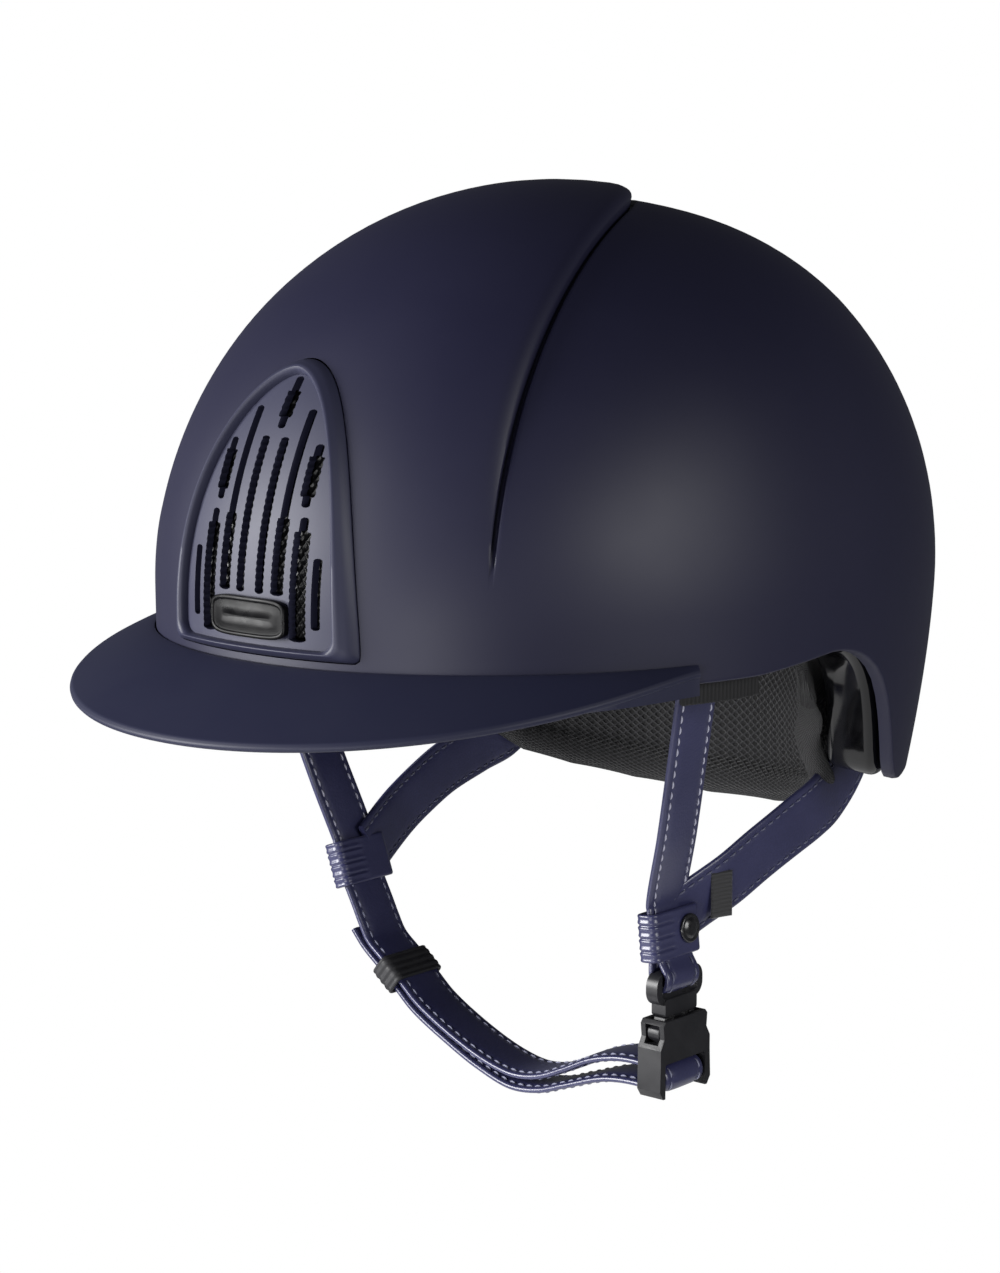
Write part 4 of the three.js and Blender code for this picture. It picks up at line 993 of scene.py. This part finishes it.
def navy_leather(name, colour_a, colour_b):
    """Aniline calf, drum-dyed navy and lightly waxed: pebbled grain about 0.7 mm across, fine pores, and a
    wax shine that varies with handling."""
    material, tree, shader = new_material(name, colour_a, 0.38, IOR=1.5, Coat_Weight=0.5, Coat_Roughness=0.2)
    where = object_coordinates(tree)
    pebble = add_node(tree, "TexVoronoi", Vector=where, Scale=1400.0, feature="SMOOTH_F1").outputs["Distance"]
    cloud = noise(tree, where, 60, 3)
    pores = noise(tree, where, 3000, 2)
    tree.links.new(mixed_colour(tree, cloud, colour_a, colour_b), shader.inputs["Base Color"])
    tree.links.new(between(tree, cloud, 0.3, 0.7, 0.3, 0.44), shader.inputs["Roughness"])
    height = add_node(tree, "Math", operation="MULTIPLY_ADD", in0=pores, in1=0.35, in2=pebble).outputs[0]
    roughen(tree, shader, height, 0.1, 0.55)
    return material


def thread_material(name, colour):
    """Waxed polyester thread, laid in two twisted plies: a dull sheen with a fine slanting ripple."""
    material, tree, shader = new_material(name, colour, 0.6)
    shader.inputs["Sheen Weight"].default_value = 0.3
    ply = noise(tree, object_coordinates(tree), 2600, 1)
    roughen(tree, shader, ply, 0.05, 0.6)
    return material


leather = navy_leather("waxed navy leather", "#2b2c4c", "#35365a")
pale_thread = thread_material("pale grey thread", "#a9a9bb")
blue_thread = thread_material("slate blue thread", "#55576f")
chin_thread = thread_material("grey blue thread", "#7b7d95")

# Each loop's side, its middle, and the way down along it. The straps are given for the left side.
LOOPS = {"left": (1, np.array([63.4, -18.6, -89.0]), np.array([0.1, 0, -1.0]) / np.hypot(0.1, 1)),
         "right": (-1, np.array([-62.4, -18.6, -86.4]), np.array([0.36, 0, -1.0]) / np.hypot(0.36, 1))}
FRONT_STRAP = [(84.2, -32, -7.2), (78, -28.6, -31.6), (70.6, -24, -57)]
REAR_STRAP = [(61.7, -14, -86.5), (63.8, -7, -82.8), (67.2, 6, -77), (68.8, 18, -71.6), (70, 32, -66.2),
              (69.6, 48, -61.5), (67.8, 60, -57.5), (67.4, 67, -52), (68, 70, -45)]


def sew(name, path, width, body, thread, wide=STRAP_WIDTH):
    """A strap and its stitches, on one body when one is given and on none otherwise. Returns both."""
    piece = strap(name, path, width, wide)
    coat(piece, leather, 60)
    seam = stitch_shapes(name + "_stitches", path, width, wide)
    coat(seam, thread, 80)
    for obj in (piece, seam):
        if body:
            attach(obj, body)
    return piece, seam


for name, (side, middle, down) in LOOPS.items():
    flip = np.array([side, 1, 1])
    top = [np.array(point) * flip for point in FRONT_STRAP]
    path = smooth_path([*top, *(middle + down * d for d in (-9.4, -6.6, 0, 6.8))])
    piece, _ = sew(f"front_strap_{name}", path, np.array([0, 1.0, 0]), "root", pale_thread)
    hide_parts(f"front_strap_{name}")
    lift = (middle[2] - LOOPS["left"][1][2]) * np.linspace(1, 0, len(REAR_STRAP))
    rear = [np.array(point) * flip + [0, 0, rise] for point, rise in zip(REAR_STRAP, lift)]
    path = smooth_path(rear)
    piece, _ = sew(f"rear_strap_{name}", path, np.array([0, -0.6, 0.8]), "root", blue_thread, wide=19.0)
    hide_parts(f"rear_strap_{name}")

# ---- Strap anchors ----
# A short tab of black webbing is riveted under the rim on each side. It holds the top of the front strap, and
# only its lower edge shows below the shell.
webbing, tree, shader = new_material("black anchor webbing", "#121214", 0.75)
weave = add_node(tree, "TexWave", Vector=object_coordinates(tree), Scale=240.0, bands_direction="Y")
weave = weave.outputs["Fac"]
tree.links.new(mixed_colour(tree, weave, "#080809", "#131316"), shader.inputs["Base Color"])
roughen(tree, shader, weave, 0.2, 0.7)
for name, turns in (("anchor_left", np.linspace(60, 74, 30)), ("anchor_right", np.linspace(286, 300, 30))):
    anchor = rim_sweep(name, turns, rounded_box(5.0, 7.4, -7.0, 3.0, 0.9))
    coat(anchor, webbing, 50)
    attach(anchor, "root")

# ---- Leather loops, press studs and the woven tag ----
# A folded leather sleeve gathers the two straps of each side. It is pressed into three creases at its front
# and closed by a black press stud, and a blank woven tag is sewn to the left rear strap.
LOOP_LENGTH, LOOP_WIDE, LOOP_THICK, LOOP_WALL, CREASE_PITCH = 14.4, 19.4, 4.2, 1.6, 3.9


def rounded_rect_loop(wide, thick, radius, count):
    """Closed rectangle with round corners at equal steps of length, with its outward directions."""
    corners = rounded_box(-wide / 2, wide / 2, -thick / 2, thick / 2, radius, 10)
    loop = evenly(corners, count)
    ahead = np.roll(loop, -1, 0) - np.roll(loop, 1, 0)
    ahead /= np.linalg.norm(ahead, axis=1, keepdims=True)
    return loop, np.stack([ahead[:, 1], -ahead[:, 0]], -1)


def tube_sleeve(name, middle, along, length, wide, thick, wall, relief):
    """Tube of a flattened section: down its outer face with round lips, and back up its inner face. relief
    gives the outer face's lift over across, depth and length."""
    loop, out = rounded_rect_loop(wide, thick, 0.9, 140)
    lip = np.radians(np.linspace(-90, 90, 7))
    steps = np.linspace(-1, 1, 46)[1:-1] * (length / 2 - wall / 2)
    outer_l = np.concatenate([[-length / 2 + wall / 2], steps, [length / 2 - wall / 2]])
    round_l = length / 2 - wall / 2 + wall / 2 * np.cos(lip)[1:-1][::-1]
    round_o = wall / 2 + wall / 2 * np.sin(lip)[1:-1][::-1]
    profile_l = np.concatenate([outer_l, round_l, outer_l[::-6], -round_l[::-1]])
    inner_o = np.zeros(len(outer_l[::-6]))
    profile_o = np.concatenate([np.full(len(outer_l), wall), round_o, inner_o, round_o[::-1]])
    is_outer = np.concatenate([np.ones(len(outer_l)), np.zeros(len(profile_l) - len(outer_l))])
    lift = relief(loop[None, :, 0], loop[None, :, 1], profile_l[:, None])
    offset = profile_o[:, None] + is_outer[:, None] * lift
    flat = loop[None] + out[None] * offset[..., None]
    side = np.array([0, 1.0, 0])
    face = np.cross(along, side)
    points = (middle + flat[..., :1] * side + flat[..., 1:] * face + profile_l[:, None, None] * along)
    return grid_mesh(name, points, closed=(True, True))


def loop_creases(u, v, l):
    """Lift of the sleeve at u across and l along it: a cosine swell less three narrow bell-shaped creases,
    over the front half only."""
    lines = sum(np.exp(-((l - at) / 0.5) ** 2) for at in (-CREASE_PITCH, 0.0, CREASE_PITCH))
    swell = 0.25 * np.cos(l / CREASE_PITCH * 2 * np.pi)
    return (1 - smooth_step(-3.5, 0.5, u)) * (swell - 0.75 * lines)


def turned(name, profile, middle, axis, sides=64):
    """A profile of (radius, height) revolved about an axis through a middle point."""
    turn = np.linspace(0, 2 * np.pi, sides, endpoint=False)
    axis = axis / np.linalg.norm(axis)
    first = np.cross(axis, [0, 1.0, 0.01])
    first /= np.linalg.norm(first)
    second = np.cross(axis, first)
    r, h = np.asarray(profile, float).T
    ring = np.cos(turn)[None, :, None] * first + np.sin(turn)[None, :, None] * second
    points = middle + r[:, None, None] * ring + h[:, None, None] * axis
    return grid_mesh(name, points, closed=(False, True))


STUD_PROFILE = [(0, -1.4), (3.4, -1.4), (3.4, -0.3), (4.15, -0.05), (4.4, 0.2), (4.35, 0.55), (4.0, 0.8),
                (3.5, 0.72), (3.25, 0.6), (3.0, 0.7), (2.6, 1.05), (1.8, 1.3), (0.9, 1.4), (0, 1.4)]
stud_metal, tree, shader = new_material("black lacquered brass", "#131316", 0.28, Metallic=0.0,
                                        Coat_Weight=0.5, Coat_Roughness=0.12)
scuff = noise(tree, object_coordinates(tree), 700, 3)
tree.links.new(between(tree, scuff, 0.35, 0.65, 0.2, 0.4), shader.inputs["Roughness"])
roughen(tree, shader, scuff, 0.02, 0.4)

for name, (side, middle, down) in LOOPS.items():
    along = -down
    sleeve = tube_sleeve(f"loop_{name}", middle, along, LOOP_LENGTH, LOOP_WIDE, LOOP_THICK, LOOP_WALL,
                         loop_creases)
    coat(sleeve, leather, 70)
    outward = np.array([side, 0, 0]) - along * (side * along[0])
    stud_height = LOOP_THICK / 2 + LOOP_WALL + 0.3
    stud_at = middle + np.array([0, 5.0, 0]) + along * 0.6 + outward / np.linalg.norm(outward) * stud_height
    stud = turned(f"stud_{name}", STUD_PROFILE, stud_at, outward)
    coat(stud, stud_metal, 50)
    for obj, slot_name, node in ((sleeve, "leather", f"strap_loop_{name}"),
                                 (stud, "stud", f"press_stud_{name}")):
        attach(obj, "root")
        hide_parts(node)


def woven_tag():
    """Folded label: a rounded slab with a raised selvedge, curling slightly at its free edge."""
    u, v = np.meshgrid(np.linspace(-1, 1, 25), np.linspace(-1, 1, 41))
    x, z = TAG_HALF_WIDTH * u, TAG_HALF_HEIGHT * v
    edge = np.maximum(np.abs(u) ** 12, np.abs(v) ** 12)
    out = np.maximum(np.abs(x) / TAG_HALF_WIDTH, np.abs(z) / TAG_HALF_HEIGHT)
    selvedge = np.exp(-((out - 0.88) / 0.05) ** 2)
    half = 0.5 * np.sqrt(np.clip(1 - edge, 0.02, 1)) + 0.08 * selvedge
    curl = 0.25 * u ** 2
    c, s = np.cos(TAG_TURN), np.sin(TAG_TURN)
    place = lambda h: np.stack([TAG_AT[0] + (h + curl) * c - x * s, TAG_AT[1] + (h + curl) * s + x * c,
                                TAG_AT[2] + z], -1)
    return two_sheets("blank_tag", place(half), place(-half))


TAG_AT, TAG_TURN = (67.9, 1.2, -80.6), np.radians(-15)
TAG_HALF_WIDTH, TAG_HALF_HEIGHT = 4.0, 7.0
tag = woven_tag()
material, tree, shader = new_material("satin woven label", "#111113", 0.6)
shader.inputs["Sheen Weight"].default_value = 0.4
weft = add_node(tree, "TexWave", Vector=object_coordinates(tree), Scale=260.0, bands_direction="Z")
weft = weft.outputs["Fac"]
tree.links.new(mixed_colour(tree, weft, "#0c0c0e", "#1d1d20"), shader.inputs["Base Color"])
roughen(tree, shader, weft, 0.12, 0.6)
coat(tag, material, 60)
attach(tag, "root")
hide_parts("strap_tag")

# ---- Chin strap and its keeper ----
# One long strap leaves the right loop, goes under the chin, turns round the buckle's bar and comes back
# underneath as the free end, which a ribbed rubber keeper holds against the upper layer.
BAR_X, BAR_Z, BAR_WRAP = 66.0, -131.4, 3.5
CHIN_UPPER = [(-60.6, -91.2), (-59.1, -93.9), (-57.4, -97), (-56.2, -99.2), (-53.6, -104.2), (-50.5, -109.3),
              (-44.2, -114.3), (-36.3, -120.6), (-29.3, -126.2), (-14, -134.2), (0, -139.4), (10.5, -141.2),
              (20, -139.8), (30, -135.7), (40, -130.9), (50, -128.2), (58, -127.6)]
CHIN_LOWER = [(58, -134.2), (46, -135.4), (30, -140.8), (20, -144.2), (9, -145.2), (-4, -141.6),
              (-16, -136.4), (-31, -128.5), (-38.2, -122.7), (-46, -116.4), (-52.3, -111.5), (-56.8, -106.6)]
bar_angles = np.radians([106, 60, 25, -10, -45, -106])
bar_turn = [(BAR_X + BAR_WRAP * np.cos(a), BAR_Z + BAR_WRAP * np.sin(a)) for a in bar_angles]
chin_path = smooth_path([(x, HARNESS_Y, z) for x, z in [*CHIN_UPPER, *bar_turn, *CHIN_LOWER]])
chin, chin_seam = sew("chin_strap", chin_path, np.array([0, 1.0, 0]), None, chin_thread)
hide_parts("chin_strap", "strap_stub_right")
for obj in (chin, chin_seam):
    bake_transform(obj)

KEEPER_ALONG = np.array([-0.782, 0, 0.624]) / np.hypot(0.782, 0.624)
KEEPER_AT = np.array([-41.3, HARNESS_Y, -118.7])
KEEPER_LENGTH, KEEPER_WIDE, KEEPER_THICK, KEEPER_WALL, RIB_PITCH = 9.6, 18.6, 5.6, 1.2, 2.4
ribs = lambda u, v, l: 0.14 * np.cos(l / RIB_PITCH * 2 * np.pi) * (1 - smooth_step(3.4, 4.6, np.abs(l)))
keeper = tube_sleeve("keeper", KEEPER_AT, KEEPER_ALONG, KEEPER_LENGTH, KEEPER_WIDE, KEEPER_THICK, KEEPER_WALL,
                     ribs)
rubber, tree, shader = new_material("moulded black rubber", "#17171a", 0.62)
dust = noise(tree, object_coordinates(tree), 500, 4)
tree.links.new(mixed_colour(tree, dust, "#131315", "#212126"), shader.inputs["Base Color"])
tree.links.new(between(tree, dust, 0.3, 0.7, 0.52, 0.72), shader.inputs["Roughness"])
roughen(tree, shader, dust, 0.05, 0.5)
coat(keeper, rubber, 70)
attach(keeper, "keeper")
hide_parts("chin_keeper")

# The left stub is a short strap sewn into the loop and folded round the top bar of the buckle.
_, left_middle, left_down = LOOPS["left"]
inside = left_middle + left_down * (LOOP_LENGTH / 2 - 3)
mouth = left_middle + left_down * (LOOP_LENGTH / 2 + 0.3)
round_bar = [(68.9, -101), (68.3, -103.8), (66, -104.8), (63.7, -103.8), (62.9, -101)]
stub_path = smooth_path([inside + [1.2, 0, 0], mouth + [1.9, 0, 0],
                         *((x, HARNESS_Y, z) for x, z in round_bar),
                         mouth + [-1.6, 0, 0], inside + [-1.2, 0, 0]], 0.6)
stub, stub_seam = sew("buckle_stub", stub_path, np.array([0, 1.0, 0]), None, blue_thread, wide=15.4)
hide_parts("strap_stub_left")
for obj in (stub, stub_seam):
    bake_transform(obj)

# ---- Side-release buckle ----
# Acetal halves, injection moulded with softened edges and a fine spark-eroded skin. The upper half has a
# ring, a guide tongue and two springing prongs, and the lower half is the socket with a window on each side.
acetal, tree, shader = new_material("spark-textured black acetal", "#151518", 0.42, IOR=1.48)
skin = noise(tree, object_coordinates(tree), 2200, 2)
worn = noise(tree, object_coordinates(tree), 120, 3)
tree.links.new(mixed_colour(tree, worn, "#121215", "#1e1e22"), shader.inputs["Base Color"])
tree.links.new(between(tree, worn, 0.3, 0.7, 0.36, 0.5), shader.inputs["Roughness"])
roughen(tree, shader, skin, 0.03, 0.5)


def softened(node, name, bevel_mm):
    """A merged copy of a moulded CAD solid with its edges rounded over."""
    copy = bpy.data.objects.new(name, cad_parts[node].data.copy())
    bpy.context.scene.collection.objects.link(copy)
    shape = bmesh.new()
    shape.from_mesh(copy.data)
    bmesh.ops.remove_doubles(shape, verts=shape.verts, dist=1e-6)
    bmesh.ops.dissolve_limit(shape, angle_limit=np.radians(2), verts=shape.verts, edges=shape.edges)
    shape.to_mesh(copy.data)
    shape.free()
    bevel = copy.modifiers.new("round over", "BEVEL")
    bevel.width, bevel.segments = bevel_mm * MM, 3
    bevel.limit_method, bevel.angle_limit = "ANGLE", np.radians(28)
    bevel.use_clamp_overlap = True
    coat(copy, acetal, 40)
    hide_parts(node)
    return copy


for node, body, bevel_mm in (("buckle_prong_half", "left_end", 0.45),
                             ("buckle_prong_front", "prong_front", 0.35),
                             ("buckle_prong_rear", "prong_rear", 0.35),
                             ("buckle_socket_half", "chin_side", 0.6)):
    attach(softened(node, node + "_moulding", bevel_mm), body)
